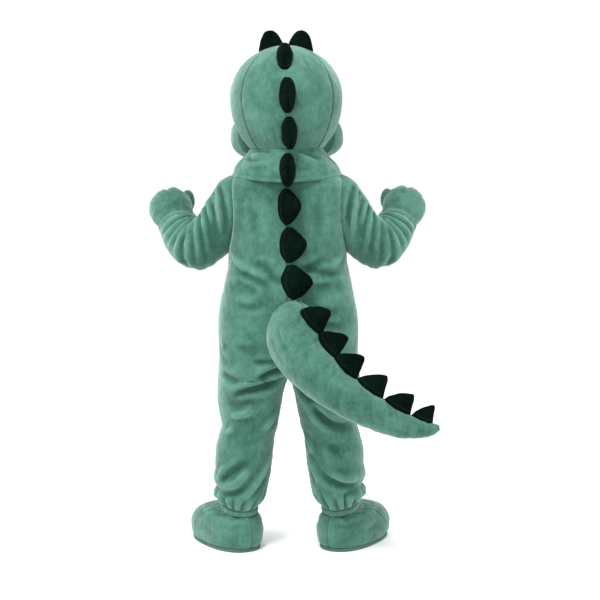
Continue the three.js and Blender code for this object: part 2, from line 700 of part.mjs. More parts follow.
function bootSole(side) {
  const surface = (u, v) => {
    const point = bootPoint(side, 2 * Math.PI * u, 0);
    return point.setZ(v);
  };
  return filledBody(surface, {
    rows: [{ v: 0, columns: 28 }, { v: soleThickness, columns: 28 }],
    inside: () => bootPoint(side, 0, 0).lerp(bootPoint(side, Math.PI, 0), 0.5),
  });
}

function ankleBand(side) {
  const turn = radians(boot.turnedOut);
  const surface = (u, v) => {
    const around = 2 * Math.PI * u;
    const x = ankle.radius * Math.sin(around);
    const y = ankle.radius * Math.cos(around);
    const alongFoot = x * Math.sin(turn) - y * Math.cos(turn);
    return new THREE.Vector3(side * (ankle.x + x), ankle.y + y, ankle.z + v + ankle.rise * alongFoot);
  };
  return clothWall(surface, {
    rows: [{ v: seamGap, columns: 20 }, { v: bandHeight, columns: 20 }],
    ring: true,
    lift: 1,
    thickness: bandThickness,
    inside: () => new THREE.Vector3(side * ankle.x, ankle.y, ankle.z),
  });
}

// Tail

function tailFrame(at) {
  const s = sample(tailSections, "at", at);
  const place = (t) => {
    const p = sample(tailSections, "at", t);
    return new THREE.Vector3(p.x, p.y, p.z);
  };
  const travel = place(Math.min(at + 0.05, 8)).sub(place(Math.max(at - 0.05, 0))).normalize();
  const up = new THREE.Vector3(s.upX, s.upY, s.upZ);
  up.addScaledVector(travel, -up.dot(travel)).normalize();
  const sideways = new THREE.Vector3().crossVectors(travel, up);
  return { s, centre: place(at), travel, up, sideways };
}

function tailPoint(around, at) {
  const { s, centre, up, sideways } = tailFrame(at);
  return centre
    .addScaledVector(up, s.high * Math.cos(around))
    .addScaledVector(sideways, s.wide * Math.sin(around));
}

const tailRows = [0, 0.8, 1.5, 2.1, 2.7, 3.4, 4.1, 4.9, 5.7, 6.5, 7.3, 8];
const tailArcSteps = 8;
const tailCentre = (v) => tailFrame(v).centre;

// One half of the stuffed tail: half of each ring, closed by the straight line of its seam plane
function tailHalf(sign, lift = 0) {
  const points = [];
  const triangles = [];
  const rings = tailRows.map((at) => {
    const { s, centre, up, sideways } = tailFrame(at);
    const high = s.high + lift;
    const gap = sign * (seamGap / 2 - lift);
    const arc = evenRows(0, Math.PI, tailArcSteps).map(({ v }) => [high * Math.cos(v), (s.wide + lift) * Math.sin(v)]);
    const seam = evenRows(-high, high, 3).slice(1, -1).map(({ v }) => [v, 0]);
    const ring = [...arc, ...seam].map(([upward, outward], n, all) => {
      const point = centre.clone().addScaledVector(up, upward).addScaledVector(sideways, gap + sign * outward);
      points.push(point);
      return { u: n / all.length, index: points.length - 1 };
    });
    return [...ring, { u: 1, index: ring[0].index }];
  });
  for (let n = 0; n < rings.length - 1; n += 1) zip(rings[n], rings[n + 1], triangles);
  capRing(rings[0], points, triangles, false);
  capRing(rings.at(-1), points, triangles, true);
  return closedGeometry(points, triangles);
}

// Plates

// A stuffed leaf: foot is the middle of its base, up its height, along its length
function plateGeometry(foot, up, along, { on, length, height, thick }) {
  const sideways = new THREE.Vector3().crossVectors(up, along).normalize();
  const surface = (u, v) => {
    const around = 2 * Math.PI * u;
    const rest = 1 - Math.max(v, 0);
    const reach = (length / 2) * rest ** 0.62;
    const girth = (thick / 2) * rest ** 0.42;
    const [across, lengthwise] = flatSection(around, girth, reach, 2.1);
    return foot.clone()
      .addScaledVector(up, height * v)
      .addScaledVector(along, lengthwise + plateSweep[on] * Math.max(v, 0) ** 2)
      .addScaledVector(sideways, across);
  };
  return filledBody(surface, {
    rows: plateLevels.map((v) => ({ v, columns: 8 })),
    inside: (v) => foot.clone().addScaledVector(up, height * Math.min(v, 0.5)),
  });
}

function plateFrame({ on, place, x, lean }) {
  const down = new THREE.Vector3(0, 0, -1);
  let foot;
  let up;
  let along;
  if (on === "head") {
    const angle = radians(place);
    foot = headPoint(0, angle).setX(x);
    along = headPoint(0, angle + 0.02).sub(headPoint(0, angle - 0.02)).normalize();
    up = new THREE.Vector3(0, -along.z, along.y);
  } else if (on === "tail") {
    foot = tailPoint(0, place);
    along = tailPoint(0, place + 0.1).sub(tailPoint(0, place - 0.1)).normalize();
    up = foot.clone().sub(tailCentre(place));
    up.addScaledVector(along, -up.dot(along)).normalize();
  } else {
    const cowlRow = cowlSections.find((row) => row.middleZ <= place);
    const y = on === "cowl" ? cowlRow.deep - 2 : onBodyFace("back", x, place).y;
    foot = new THREE.Vector3(x, y, place);
    along = on === "cowl" ? new THREE.Vector3(0, 0.35, -1).normalize() : down;
    up = new THREE.Vector3(0, -along.z, along.y);
  }
  up.applyAxisAngle(along, radians(on === "tail" ? 0 : -lean));
  return { foot, up, along };
}

// Face: stuffed snout and jaw, with plain eyes and nostrils

function muzzleBody(sections, lift = 0) {
  const surface = (u, v) => {
    const s = sample(sections, "at", v);
    const around = 2 * Math.PI * u;
    const high = (s.top - s.bottom) / 2;
    const [across, upward] = flatSection(around, s.half, high, 2.6);
    return new THREE.Vector3(across, s.y, s.bottom + high + upward);
  };
  return filledBody(surface, {
    rows: sections.map(({ at }) => ({ v: at, columns: 16 })),
    inside: () => new THREE.Vector3(0, sections[0].y - 60, (sections[0].top + sections[0].bottom) / 2),
    lift,
  });
}

const horn = { around: 51, down: 19, lean: 0.12, height: 68, wide: 49, deep: 28, bluntness: 0.38 };
const hornLevels = [-0.5, 0, 0.3, 0.6, 0.82, 0.94, 0.985];
const eyeSize = { around: 24, down: 46, radius: 52, pupil: 24 };
const nostrilSize = { x: 50, y: -392, z: 1572, radius: 17 };

function hornGeometry(side) {
  const foot = headPoint(Math.PI - radians(horn.around) * side, radians(horn.down));
  const up = new THREE.Vector3(horn.lean * side, 0, 1).normalize();
  const along = new THREE.Vector3(1, 0, -horn.lean * side).normalize();
  const depth = new THREE.Vector3().crossVectors(up, along);
  const surface = (u, v) => {
    const around = 2 * Math.PI * u;
    const rest = 1 - Math.max(v, 0);
    const swell = rest ** horn.bluntness;
    const [across, lengthwise] = flatSection(around, horn.deep * swell, horn.wide * swell, 2);
    return foot.clone()
      .addScaledVector(up, horn.height * v)
      .addScaledVector(along, lengthwise)
      .addScaledVector(depth, across);
  };
  return filledBody(surface, {
    rows: hornLevels.map((v) => ({ v, columns: 10 })),
    inside: (v) => foot.clone().addScaledVector(up, horn.height * Math.min(v, 0.4)),
  });
}

// Assembly

const group = new THREE.Group();
const costume = new THREE.Group();
costume.position.z = -shoulderHeight;
group.add(costume);

function addPiece(name, geometry, color = fleece, roughness = 0.95) {
  const mesh = new THREE.Mesh(geometry, new THREE.MeshStandardMaterial({ color, roughness, metalness: 0 }));
  mesh.name = name;
  geometry.computeVertexNormals();
  costume.add(mesh);
}

const sides = [{ name: "left", sign: 1 }, { name: "right", sign: -1 }];

// A wall that is larger all over by the seam gap, as a cutter for its neighbours
function grownWall(surface, options) {
  const lift = (options.lift ?? 0) + seamGap;
  return clothWall(surface, { ...options, lift, thickness: options.thickness + 2 * seamGap });
}

// Head
const headPanels = {
  head_back: headPanel(-55, 50, 8),
  head_side_left: headPanel(50, 122, 6),
  head_front: headPanel(122, 238, 8),
  head_side_right: headPanel(238, 305, 5),
};
for (const [name, [surface, options]] of Object.entries(headPanels)) addPiece(name, clothWall(surface, options));
const headCut = formOf(Object.values(headPanels), seamGap);
const snoutCut = muzzleBody(snoutSections, seamGap);
const cowlCut = filledBody(cowlSurface, { ...cowlOptions, lift: seamGap });
addPiece("snout_upper", cutBy(muzzleBody(snoutSections), headCut, cowlCut));
addPiece("jaw_lower", cutBy(muzzleBody(jawSections), headCut, snoutCut, cowlCut));
for (const { name, sign } of sides) {
  const eyeCentre = headPoint(Math.PI - radians(eyeSize.around) * sign, radians(eyeSize.down));
  const eyeRadii = new THREE.Vector3(eyeSize.radius, eyeSize.radius, eyeSize.radius);
  const eyeCut = ballGeometry(eyeCentre, eyeRadii.clone().addScalar(seamGap));
  addPiece(`eye_${name}`, cutBy(ballGeometry(eyeCentre, eyeRadii), headCut), new THREE.Color(0xe9e7dc), 0.4);
  const gaze = new THREE.Vector3(0.12 * sign, -1, 0.1).normalize();
  const pupilCentre = eyeCentre.clone().addScaledVector(gaze, eyeSize.radius * 0.86);
  const pupilRadii = new THREE.Vector3(eyeSize.pupil, eyeSize.pupil * 0.5, eyeSize.pupil * 1.2);
  const pupil = cutBy(ballGeometry(pupilCentre, pupilRadii), eyeCut, headCut);
  addPiece(`pupil_${name}`, pupil, new THREE.Color(0x101210), 0.3);
  const nostrilCentre = new THREE.Vector3(sign * nostrilSize.x, nostrilSize.y, nostrilSize.z);
  const nostrilRadii = new THREE.Vector3(nostrilSize.radius * 1.2, nostrilSize.radius, nostrilSize.radius);
  addPiece(`nostril_${name}`, cutBy(ballGeometry(nostrilCentre, nostrilRadii, 10, 6), snoutCut), darkFleece);
  addPiece(`horn_${name}`, cutBy(hornGeometry(sign), headCut), darkFleece);
}

// Body, sleeves and the flap over the front closing
const bodyCut = bodyForm(seamGap);
for (const { name, sign } of sides) {
  const armhole = filledBody(sleeveSurface(sign), { ...sleeveOptions(sign), lift: -clothThickness });
  for (const face of ["back", "front"]) {
    addPiece(`body_${face}_${name}`, cutBy(clothWall(bodySurface(sign, face), panelOptions(sign)), armhole));
  }
  const sleeve = clothWall(sleeveSurface(sign), { ...sleeveOptions(sign), thickness: clothThickness });
  addPiece(`sleeve_${name}`, cutBy(sleeve, bodyCut));
}
const placketSurface = (u, v) => onBodyFace("front", placketWidth * (u - 0.5), v);
const placketOptions = {
  rows: evenRows(1330, 790, 6, 2),
  inside: (z) => new THREE.Vector3(0, 0, z),
  relief: bodyRelief,
  lift: seamGap + placketThickness,
  thickness: placketThickness,
};
addPiece("front_placket", cutBy(clothWall(placketSurface, placketOptions), bodyCut));

// Cowl, which hangs from under the head and lies on the shoulders
const sleeveCuts = sides.map(({ sign }) =>
  filledBody(sleeveSurface(sign), { ...sleeveOptions(sign), lift: seamGap }));
const cowlWall = clothWall(cowlSurface, { ...cowlOptions, thickness: cowlThickness });
addPiece("cowl", cutBy(cowlWall, headCut, bodyCut, ...sleeveCuts));
const lastCowlRow = cowlSections.length - 1;
const pastHem = (u, v) => cowlSurface(u, v).add(new THREE.Vector3(0, 0, lastCowlRow - Math.max(v, lastCowlRow)));
const cowlGrown = grownWall(pastHem, {
  ...cowlOptions,
  rows: [...cowlOptions.rows, { ...cowlOptions.rows.at(-1), v: lastCowlRow + seamGap }],
  thickness: cowlThickness,
});

// Tail
const tailCuts = [tailHalf(1, seamGap), tailHalf(-1, seamGap)];
addPiece("tail_left", cutBy(tailHalf(1), bodyCut));
addPiece("tail_right", cutBy(tailHalf(-1), bodyCut));

// Plates of the spine, from the crown to the tip of the tail
const plateCutters = {
  head: [headCut, cowlCut],
  cowl: [cowlCut, cowlGrown, headCut, bodyCut],
  back: [bodyCut, cowlGrown],
  tail: [...tailCuts, bodyCut],
};
let plateBefore = [];
for (const [index, plate] of plates.entries()) {
  const { foot, up, along } = plateFrame(plate);
  const cut = cutBy(plateGeometry(foot, up, along, plate), ...plateCutters[plate.on], ...plateBefore);
  addPiece(`plate_${index + 1}`, cut, darkFleece);
  const { on, length, height, thick } = plate;
  const grown = { on, length: length + 2 * seamGap, height: height + seamGap, thick: thick + 2 * seamGap };
  plateBefore = [plateGeometry(foot, up, along, grown)];
}

// Mitts and feet
for (const { name, sign } of sides) {
  const cuffRows = { ...sleeveOptions(sign), rows: sleeveRows.slice(-5) };
  const cuffCut = grownWall(sleeveSurface(sign), { ...cuffRows, thickness: clothThickness });
  const mitt = clothWall(mittSurface(sign), { ...mittOptions(sign), thickness: mittWall });
  addPiece(`mitt_${name}`, cutBy(mitt, cuffCut));
  const mittCut = filledBody(mittSurface(sign), { ...mittOptions(sign), lift: seamGap });
  const thumbCentre = handFrame(sign)(thumb.along, thumb.wide, thumb.deep);
  const thumbBall = ballGeometry(thumbCentre, new THREE.Vector3(thumb.radius, thumb.radius, thumb.length));
  addPiece(`thumb_${name}`, cutBy(thumbBall, mittCut));
  addPiece(`ankle_band_${name}`, ankleBand(sign));
  addPiece(`boot_outer_${name}`, bootPanel(sign, true));
  addPiece(`boot_inner_${name}`, bootPanel(sign, false));
  addPiece(`boot_sole_${name}`, bootSole(sign), new THREE.Color(0x1c1f1e), 0.8);
}

export default group;
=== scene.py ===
# Plush alligator costume: cloth shells, stuffed pieces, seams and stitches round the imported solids.
# Lengths are millimetres above the floor until a mesh is made; the frame is metres from the shoulders.
import math

import bpy
import numpy as np
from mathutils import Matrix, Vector


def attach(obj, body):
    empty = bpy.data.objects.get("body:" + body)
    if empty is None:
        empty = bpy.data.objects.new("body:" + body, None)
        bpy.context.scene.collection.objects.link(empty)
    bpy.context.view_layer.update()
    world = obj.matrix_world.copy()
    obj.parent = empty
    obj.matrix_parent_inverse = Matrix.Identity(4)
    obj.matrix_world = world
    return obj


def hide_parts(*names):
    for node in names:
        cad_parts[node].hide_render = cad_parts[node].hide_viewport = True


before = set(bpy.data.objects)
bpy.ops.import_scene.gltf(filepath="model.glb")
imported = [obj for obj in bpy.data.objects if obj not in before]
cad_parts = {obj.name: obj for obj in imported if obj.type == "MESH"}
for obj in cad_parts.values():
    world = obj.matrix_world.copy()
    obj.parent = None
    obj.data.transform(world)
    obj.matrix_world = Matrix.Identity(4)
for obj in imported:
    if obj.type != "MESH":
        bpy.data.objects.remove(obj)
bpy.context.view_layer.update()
print("frame loaded")

shoulderHeight = 1380.0
seamGap = 0.3
sides = {"left": 1, "right": -1}


def columnsOf(names, text):
    rows = np.array([[float(x) for x in line.split()] for line in text.strip().splitlines()])
    return dict(zip(names.split(), rows.T))


def sample(table, key, at):
    # every column at some values of the key, along a curve that never overshoots
    x = table[key]
    last = len(x) - 1
    at = np.asarray(at, float)
    if x[-1] > x[0]:
        low = np.searchsorted(x, at, side="right") - 1
    else:
        low = last - np.searchsorted(x[::-1], at, side="left")
    low = np.clip(low, 0, last - 1)
    span = x[low + 1] - x[low]
    t = np.clip((at - x[low]) / span, 0, 1)
    result = {}
    for name, y in table.items():
        slope = np.diff(y) / np.diff(x)
        before, after = slope[:-1], slope[1:]
        both = before * after > 0
        inner = np.where(both, 2 * before * after / np.where(both, before + after, 1), 0)
        tangent = np.concatenate([slope[:1], inner, slope[-1:]])
        bend = t * t * (3 - 2 * t) * (y[low + 1] - y[low])
        ease = (1 - t) * span * tangent[low] - t * span * tangent[low + 1]
        result[name] = y[low] + bend + t * (1 - t) * ease
    return result


def smooth(x, low, high):
    t = np.clip((x - low) / (high - low), 0, 1)
    return t * t * (3 - 2 * t)


def bump(x, width):
    return np.exp(-((x / width) ** 2))


def softNoise(points, size, seed):
    # smooth unevenness of about one unit, from a few crossing waves
    rng = np.random.default_rng(seed)
    total = np.zeros(points.shape[:-1])
    for _ in range(9):
        direction = rng.normal(size=3)
        direction /= np.linalg.norm(direction)
        wave = 2 * math.pi / (size * rng.uniform(0.7, 1.6))
        total += np.sin(points @ direction * wave + rng.uniform(0, 2 * math.pi))
    return total / 3


def sectionRadius(angle, half, depth, square):
    across = np.abs(np.sin(angle) / half) ** square
    along = np.abs(np.cos(angle) / depth) ** square
    return (across + along) ** (-1 / square)


def flatSection(around, half, depth, square):
    angle = np.arctan2(half * np.sin(around), depth * np.cos(around))
    radius = sectionRadius(angle, half, depth, square)
    return radius * np.sin(angle), radius * np.cos(angle)


def place(*parts):
    return np.stack(np.broadcast_arrays(*parts), -1).astype(float)


def unit(vector):
    return vector / (np.linalg.norm(vector, axis=-1, keepdims=True) + 1e-12)


def shares(count):
    # even places all the way round, the last one short of the first
    return np.arange(count) / count


def normalsOf(surface, u, v, inside):
    e = 1e-3
    across = surface(u + e, v) - surface(u - e, v)
    down = surface(u, v + e) - surface(u, v - e)
    normal = unit(np.cross(across, down))
    wrong = np.sum((surface(u, v) - inside) * normal, -1) < 0
    normal[wrong] *= -1
    return normal


def arcAlong(points, axis):
    steps = np.linalg.norm(np.diff(points, axis=axis), axis=-1)
    zero = np.zeros_like(np.take(steps, [0], axis=axis))
    return np.concatenate([zero, np.cumsum(steps, axis=axis)], axis=axis)


def spread(low, high, size, step, lip=1.6):
    # even values with one more close to each end, for a rolled edge
    count = max(2, int(round(size / step)))
    even = np.linspace(low, high, count + 1)
    near = (high - low) * lip / size
    return np.concatenate([even[:1], [low + near], even[1:-1], [high - near], even[-1:]])


def foldRelief(points, folds):
    # soft troughs and ridges along paths that lie on the surface
    flat = points.reshape(-1, 3)
    total = np.zeros(len(flat))
    for path, width, depth in folds:
        margin = 4 * width
        close = np.all((flat > path.min(0) - margin) & (flat < path.max(0) + margin), axis=1)
        p = flat[close]
        if not len(p):
            continue
        best = np.full(len(p), 1e9)
        along = np.zeros(len(p))
        for n in range(len(path) - 1):
            step = path[n + 1] - path[n]
            t = np.clip((p - path[n]) @ step / (step @ step), 0, 1)
            d = np.linalg.norm(p - path[n] - t[:, None] * step, axis=1)
            closer = d < best
            best[closer] = d[closer]
            along[closer] = (n + t[closer]) / (len(path) - 1)
        fade = 0.1 + 0.9 * smooth(along, 0, 0.3) * (1 - smooth(along, 0.7, 1))
        girth = width * (0.8 + 0.4 * along)
        shape = bump(best, girth) - 0.32 * bump(best - 2.1 * girth, girth)
        total[close] += depth * fade * shape
    return total.reshape(points.shape[:-1])


def finePath(spots, count):
    # a soft curve through the points of a path
    table = {"t": np.linspace(0, 1, len(spots)), "a": spots[:, 0], "b": spots[:, 1]}
    curve = sample(table, "t", np.linspace(0, 1, count))
    return curve["a"], curve["b"]


def readPaths(text, count=0):
    # width, depth and both coordinates of each crease, on a finer curve where a count is given
    for line in text.strip().splitlines():
        width, depth, *rest = map(float, line.split())
        spots = np.array(rest).reshape(-1, 2)
        a, b = finePath(spots, count) if count else spots.T
        yield width, depth, a, b


def profile(distance, rows):
    # soft ridges and troughs: the height, the distance and the width of each
    return sum(height * bump(distance - at, width) for height, at, width in rows)


def uneven(points, seed, waves):
    # the height and the size of each unevenness
    return sum(height * softNoise(points, size, seed + n) for n, (height, size) in enumerate(waves))


seam = {"tuck": ((-2.4, 0, 3.4), (0.7, 9, 6)), "pucker": 0.45, "puckerWidth": 13.0}


def seamTuck(distance, arc, seed):
    # cloth drawn in along a seam, with small puckers across it
    pucker = seam["pucker"] * np.sin(arc * 0.21 + 2.3 * np.sin(arc * 0.031 + seed))
    return profile(distance, seam["tuck"]) + pucker * bump(distance, seam["puckerWidth"])


def sideSeams(across, down, first, last):
    # the tucks at a panel's first and last column
    return seamTuck(across, down, first) + seamTuck(across[:, -1:] - across, down, last)


# Finishes
plushLook = {"light": (0.079, 0.208, 0.162), "deep": (0.026, 0.092, 0.067), "sheen": 0.6,
             "specular": 0.15}
darkLook = {"light": (0.0016, 0.0095, 0.0052), "deep": (0.0003, 0.0020, 0.0011), "sheen": 0.004,
            "specular": 0.03}
nap = {"roughness": 0.92, "sheenRoughness": 0.4, "sheenTint": (0.72, 0.95, 0.86, 1),
       "patches": 0.42, "mottle": 0.3, "streaks": 0.28, "lift": 0.7, "depth": 0.0018}


def newMaterial(name, roughness):
    material = bpy.data.materials.new(name)
    material.use_nodes = True
    tree = material.node_tree
    shader = tree.nodes["Principled BSDF"]
    shader.inputs["Roughness"].default_value = roughness
    return material, tree, shader


def noiseNode(tree, coordinates, scale, detail=2.0, stretch=None):
    source = coordinates
    if stretch:
        mapping = tree.nodes.new("ShaderNodeMapping")
        mapping.inputs["Scale"].default_value = stretch
        tree.links.new(coordinates, mapping.inputs["Vector"])
        source = mapping.outputs["Vector"]
    noise = tree.nodes.new("ShaderNodeTexNoise")
    noise.inputs["Scale"].default_value = scale
    noise.inputs["Detail"].default_value = detail
    tree.links.new(source, noise.inputs["Vector"])
    return noise.outputs["Fac"]


def rangeNode(tree, value, fromMin, fromMax, toMin, toMax):
    node = tree.nodes.new("ShaderNodeMapRange")
    node.inputs["From Min"].default_value = fromMin
    node.inputs["From Max"].default_value = fromMax
    node.inputs["To Min"].default_value = toMin
    node.inputs["To Max"].default_value = toMax
    tree.links.new(value, node.inputs["Value"])
    return node.outputs["Result"]


def mathNode(tree, operation, a, b):
    node = tree.nodes.new("ShaderNodeMath")
    node.operation = operation
    for socket, value in zip(node.inputs, (a, b)):
        if isinstance(value, (int, float)):
            socket.default_value = value
        else:
            tree.links.new(value, socket)
    return node.outputs[0]


def paintBetween(tree, shader, value, low, high):
    tint = tree.nodes.new("ShaderNodeValToRGB")
    tint.color_ramp.elements[0].color = (*low, 1)
    tint.color_ramp.elements[1].color = (*high, 1)
    tree.links.new(value, tint.inputs["Fac"])
    tree.links.new(tint.outputs["Color"], shader.inputs["Base Color"])


def liftBy(tree, shader, height, strength, distance):
    lift = tree.nodes.new("ShaderNodeBump")
    lift.inputs["Strength"].default_value = strength
    lift.inputs["Distance"].default_value = distance
    tree.links.new(height, lift.inputs["Height"])
    tree.links.new(lift.outputs["Normal"], shader.inputs["Normal"])


def plushMaterial(name, look):
    # short pile: brushed patches, fine streaks, painted shade in the folds' troughs and a painted
    # highlight on their ridges, and a sheen on the nap
    material, tree, shader = newMaterial(name, nap["roughness"])
    spot = tree.nodes.new("ShaderNodeTexCoord").outputs["Object"]
    patches = rangeNode(tree, noiseNode(tree, spot, 8, 3), 0.36, 0.64, 0, 1)
    mottle = rangeNode(tree, noiseNode(tree, spot, 45, 4, (1, 1, 0.75)), 0.34, 0.66, 0, 1)
    streaks = rangeNode(tree, noiseNode(tree, spot, 190, 3, (1, 1, 0.4)), 0.34, 0.66, 0, 1)
    mixed = mathNode(tree, "MULTIPLY", patches, nap["patches"])
    mixed = mathNode(tree, "ADD", mixed, mathNode(tree, "MULTIPLY", mottle, nap["mottle"]))
    mixed = mathNode(tree, "ADD", mixed, mathNode(tree, "MULTIPLY", streaks, nap["streaks"]))
    # the fold relief paints shade into the colour where the cloth sinks and a painted highlight where it
    # rises
    fold = tree.nodes.new("ShaderNodeAttribute")
    fold.attribute_name = "fold"
    shade = rangeNode(tree, fold.outputs["Fac"], -8, 8, -0.7, 0.5)
    mixed = mathNode(tree, "ADD", mixed, shade)
    paintBetween(tree, shader, mixed, look["deep"], look["light"])
    shader.inputs["Specular IOR Level"].default_value = look["specular"]
    shader.inputs["Sheen Weight"].default_value = look["sheen"]
    shader.inputs["Sheen Roughness"].default_value = nap["sheenRoughness"]
    shader.inputs["Sheen Tint"].default_value = nap["sheenTint"]
    pile = mathNode(tree, "ADD", noiseNode(tree, spot, 620, 3), mathNode(tree, "MULTIPLY", mottle, 0.5))
    liftBy(tree, shader, pile, nap["lift"], nap["depth"])
    return material


def plainMaterial(name, colour, roughness, grain, depth):
    material, tree, shader = newMaterial(name, roughness)
    spot = tree.nodes.new("ShaderNodeTexCoord").outputs["Object"]
    cloud = noiseNode(tree, spot, grain, 3)
    paintBetween(tree, shader, cloud, [c * 0.8 for c in colour], [min(1, c * 1.15) for c in colour])
    liftBy(tree, shader, cloud, 0.3, depth)
    return material


greenPlush = plushMaterial("green plush", plushLook)
darkPlush = plushMaterial("dark green plush", darkLook)
greenThread = plainMaterial("green thread", (0.06, 0.19, 0.14), 0.7, 900, 0.0002)
darkThread = plainMaterial("dark thread", (0.012, 0.032, 0.02), 0.7, 900, 0.0002)
soleRubber = plainMaterial("sole rubber", (0.046, 0.132, 0.100), 0.8, 300, 0.0006)
eyeGloss = plainMaterial("eye white", (0.78, 0.77, 0.7), 0.22, 9, 0.0001)
pupilGloss = plainMaterial("pupil black", (0.006, 0.007, 0.006), 0.12, 12, 0.0001)
finishes = {
    "fleece": greenPlush,
    "dark_fleece": darkPlush,
    "sole": soleRubber,
    "eye": eyeGloss,
    "pupil": pupilGloss,
}

widestRim = 4.0
outerGrids = {}
stitchRuns = {"green": [], "dark": []}


def stitchAround(colour, ring):
    stitchRuns[colour].append(np.concatenate([ring, ring[:1]]))


def makeMesh(name, vertices, faces, slot, nodes, fold=None):
    mesh = bpy.data.meshes.new(name)
    spots = (np.asarray(vertices) - [0, 0, shoulderHeight]) / 1000
    mesh.from_pydata(spots.tolist(), [], faces)
    mesh.polygons.foreach_set("use_smooth", np.ones(len(mesh.polygons), dtype=bool))
    # the signed volume says whether the faces point out
    mesh.calc_loop_triangles()
    corners = np.zeros(len(mesh.loop_triangles) * 3, dtype=np.int32)
    mesh.loop_triangles.foreach_get("vertices", corners)
    a, b, c = spots[corners.reshape(-1, 3)].transpose(1, 0, 2)
    if np.sum(a * np.cross(b, c)) < 0:
        mesh.flip_normals()
    # the relief is kept as the fold attribute, from which the plush material paints shade in troughs and
    # a highlight on ridges
    layer = mesh.attributes.new("fold", "FLOAT", "POINT")
    values = np.zeros(len(spots)) if fold is None else np.asarray(fold, float)
    layer.data.foreach_set("value", values)
    mesh.materials.append(finishes[slot])
    piece = bpy.data.objects.new(name, mesh)
    bpy.context.scene.collection.objects.link(piece)
    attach(piece, "root")
    if nodes:
        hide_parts(*nodes)
    return piece


def shell(name, points, normals, relief, thickness, slot, nodes, ring=False, keep=None,
          closeEnd=False):
    # a sheet with a wall inwards of its outer face, rolled at its open edges
    rows, cols = points.shape[:2]
    distance = arcAlong(points, 0)
    edge = distance.copy()
    if not closeEnd:
        edge = np.minimum(edge, distance[-1:] - distance)
    if not ring:
        across = arcAlong(points, 1)
        edge = np.minimum(edge, np.minimum(across, across[:, -1:] - across))
    rim = min(thickness, widestRim)
    blunt = 0.15
    roll = np.sqrt(1 - (1 - np.clip(edge / (0.9 * rim), 0, 1)) ** 2) * (1 - blunt) + blunt
    outer = points + normals * (relief - (1 - roll) * rim / 2)[..., None]
    inner = points + normals * (relief - thickness + (1 - roll) * rim / 2)[..., None]
    outerGrids[name] = outer
    index = np.arange(rows * cols).reshape(rows, cols)
    nextCol = np.roll(index, -1, axis=1) if ring else index[:, 1:]
    index = index if ring else index[:, :-1]
    quads = np.stack([index[:-1], index[1:], nextCol[1:], nextCol[:-1]], -1)
    quads = quads[keep] if keep is not None else quads.reshape(-1, 4)
    vertices = np.concatenate([outer.reshape(-1, 3), inner.reshape(-1, 3)])
    count = rows * cols
    fold = np.concatenate([relief.reshape(-1), relief.reshape(-1)])
    faces = quads.tolist() + (quads[:, ::-1] + count).tolist()
    edges = np.concatenate([quads[:, [0, 1]], quads[:, [1, 2]], quads[:, [2, 3]], quads[:, [3, 0]]])
    low, high = edges.min(axis=1), edges.max(axis=1)
    keys = low.astype(np.int64) * count + high
    _, where, times = np.unique(keys, return_index=True, return_counts=True)
    rim = edges[where[times == 1]]
    if closeEnd:
        lastRow = (rows - 1) * cols
        atEnd = np.all(rim >= lastRow, axis=1)
        poles = [outer[-1].mean(0), inner[-1].mean(0)]
        vertices = np.concatenate([vertices, poles])
        fold = np.concatenate([fold, [0, 0]])
        for a, b in rim[atEnd]:
            faces.append([int(b), int(a), 2 * count])
            faces.append([int(a) + count, int(b) + count, 2 * count + 1])
        rim = rim[~atEnd]
    faces += np.stack([rim[:, 1], rim[:, 0], rim[:, 0] + count, rim[:, 1] + count], -1).tolist()
    used = np.unique(np.concatenate([np.ravel(f) for f in (quads, quads + count)]))
    if closeEnd:
        used = np.concatenate([used, [2 * count, 2 * count + 1]])
    if len(used) < len(vertices):
        renumber = np.full(len(vertices), -1)
        renumber[used] = np.arange(len(used))
        vertices, fold = vertices[used], fold[used]
        faces = [[int(renumber[i]) for i in face] for face in faces]
    return makeMesh(name, vertices, faces, slot, nodes, fold)


def stuffed(name, rings, slot, nodes, fold=None, tip=None):
    # a closed form through rings, with a pole at each end
    rows, cols = rings.shape[:2]
    outerGrids[name] = rings
    index = np.arange(rows * cols).reshape(rows, cols)
    turned = np.roll(index, -1, axis=1)
    quads = np.stack([index[:-1], index[1:], turned[1:], turned[:-1]], -1).reshape(-1, 4)
    start, end = rings[0].mean(0), rings[-1].mean(0) if tip is None else tip
    vertices = np.concatenate([rings.reshape(-1, 3), [start, end]])
    faces = quads.tolist()
    first, last = rows * cols, rows * cols + 1
    for a, b in zip(index[0], turned[0]):
        faces.append([int(b), first, int(a)][::-1])
    for a, b in zip(index[-1], turned[-1]):
        faces.append([int(a), last, int(b)][::-1])
    values = np.zeros(rings.shape[:2]) if fold is None else fold
    return makeMesh(name, vertices, faces, slot, nodes, np.concatenate([values.reshape(-1), [0, 0]]))


def stuffedPlush(node, points, normals, relief, slot, tip):
    rings = points + normals * relief[..., None]
    piece = stuffed(node + "_plush", rings, slot, [node], relief, tip)
    return rings


def leavesAt(surface, u, inside, low, high):
    # for each u the last v, counted back from high, at which the surface is still inside
    grid = np.linspace(low, high, 60)
    hit = inside(surface(u[None, :] + 0 * grid[:, None], grid[:, None] + 0 * u[None, :]))
    last = np.array([np.max(np.where(column)[0]) if column.any() else 0 for column in hit.T])
    a = grid[last]
    b = grid[np.minimum(last + 1, len(grid) - 1)]
    for _ in range(18):
        middle = (a + b) / 2
        within = inside(surface(u, middle))
        a, b = np.where(within, middle, a), np.where(within, b, middle)
    return a


def seated(surface, us, inside, low, high, end, share, sink=0.03):
    # a grid from just under where the surface leaves what carries it, to its end
    start = leavesAt(surface, us, inside, low, high) - sink
    v = start[None, :] + (end - start[None, :]) * share[:, None]
    u = us[None, :] + 0 * v
    return u, v, surface(u, v)


lastBeforeTip = 0.985


def closerToTip(count):
    return 1 - (1 - np.linspace(0, 1, count)) ** 2


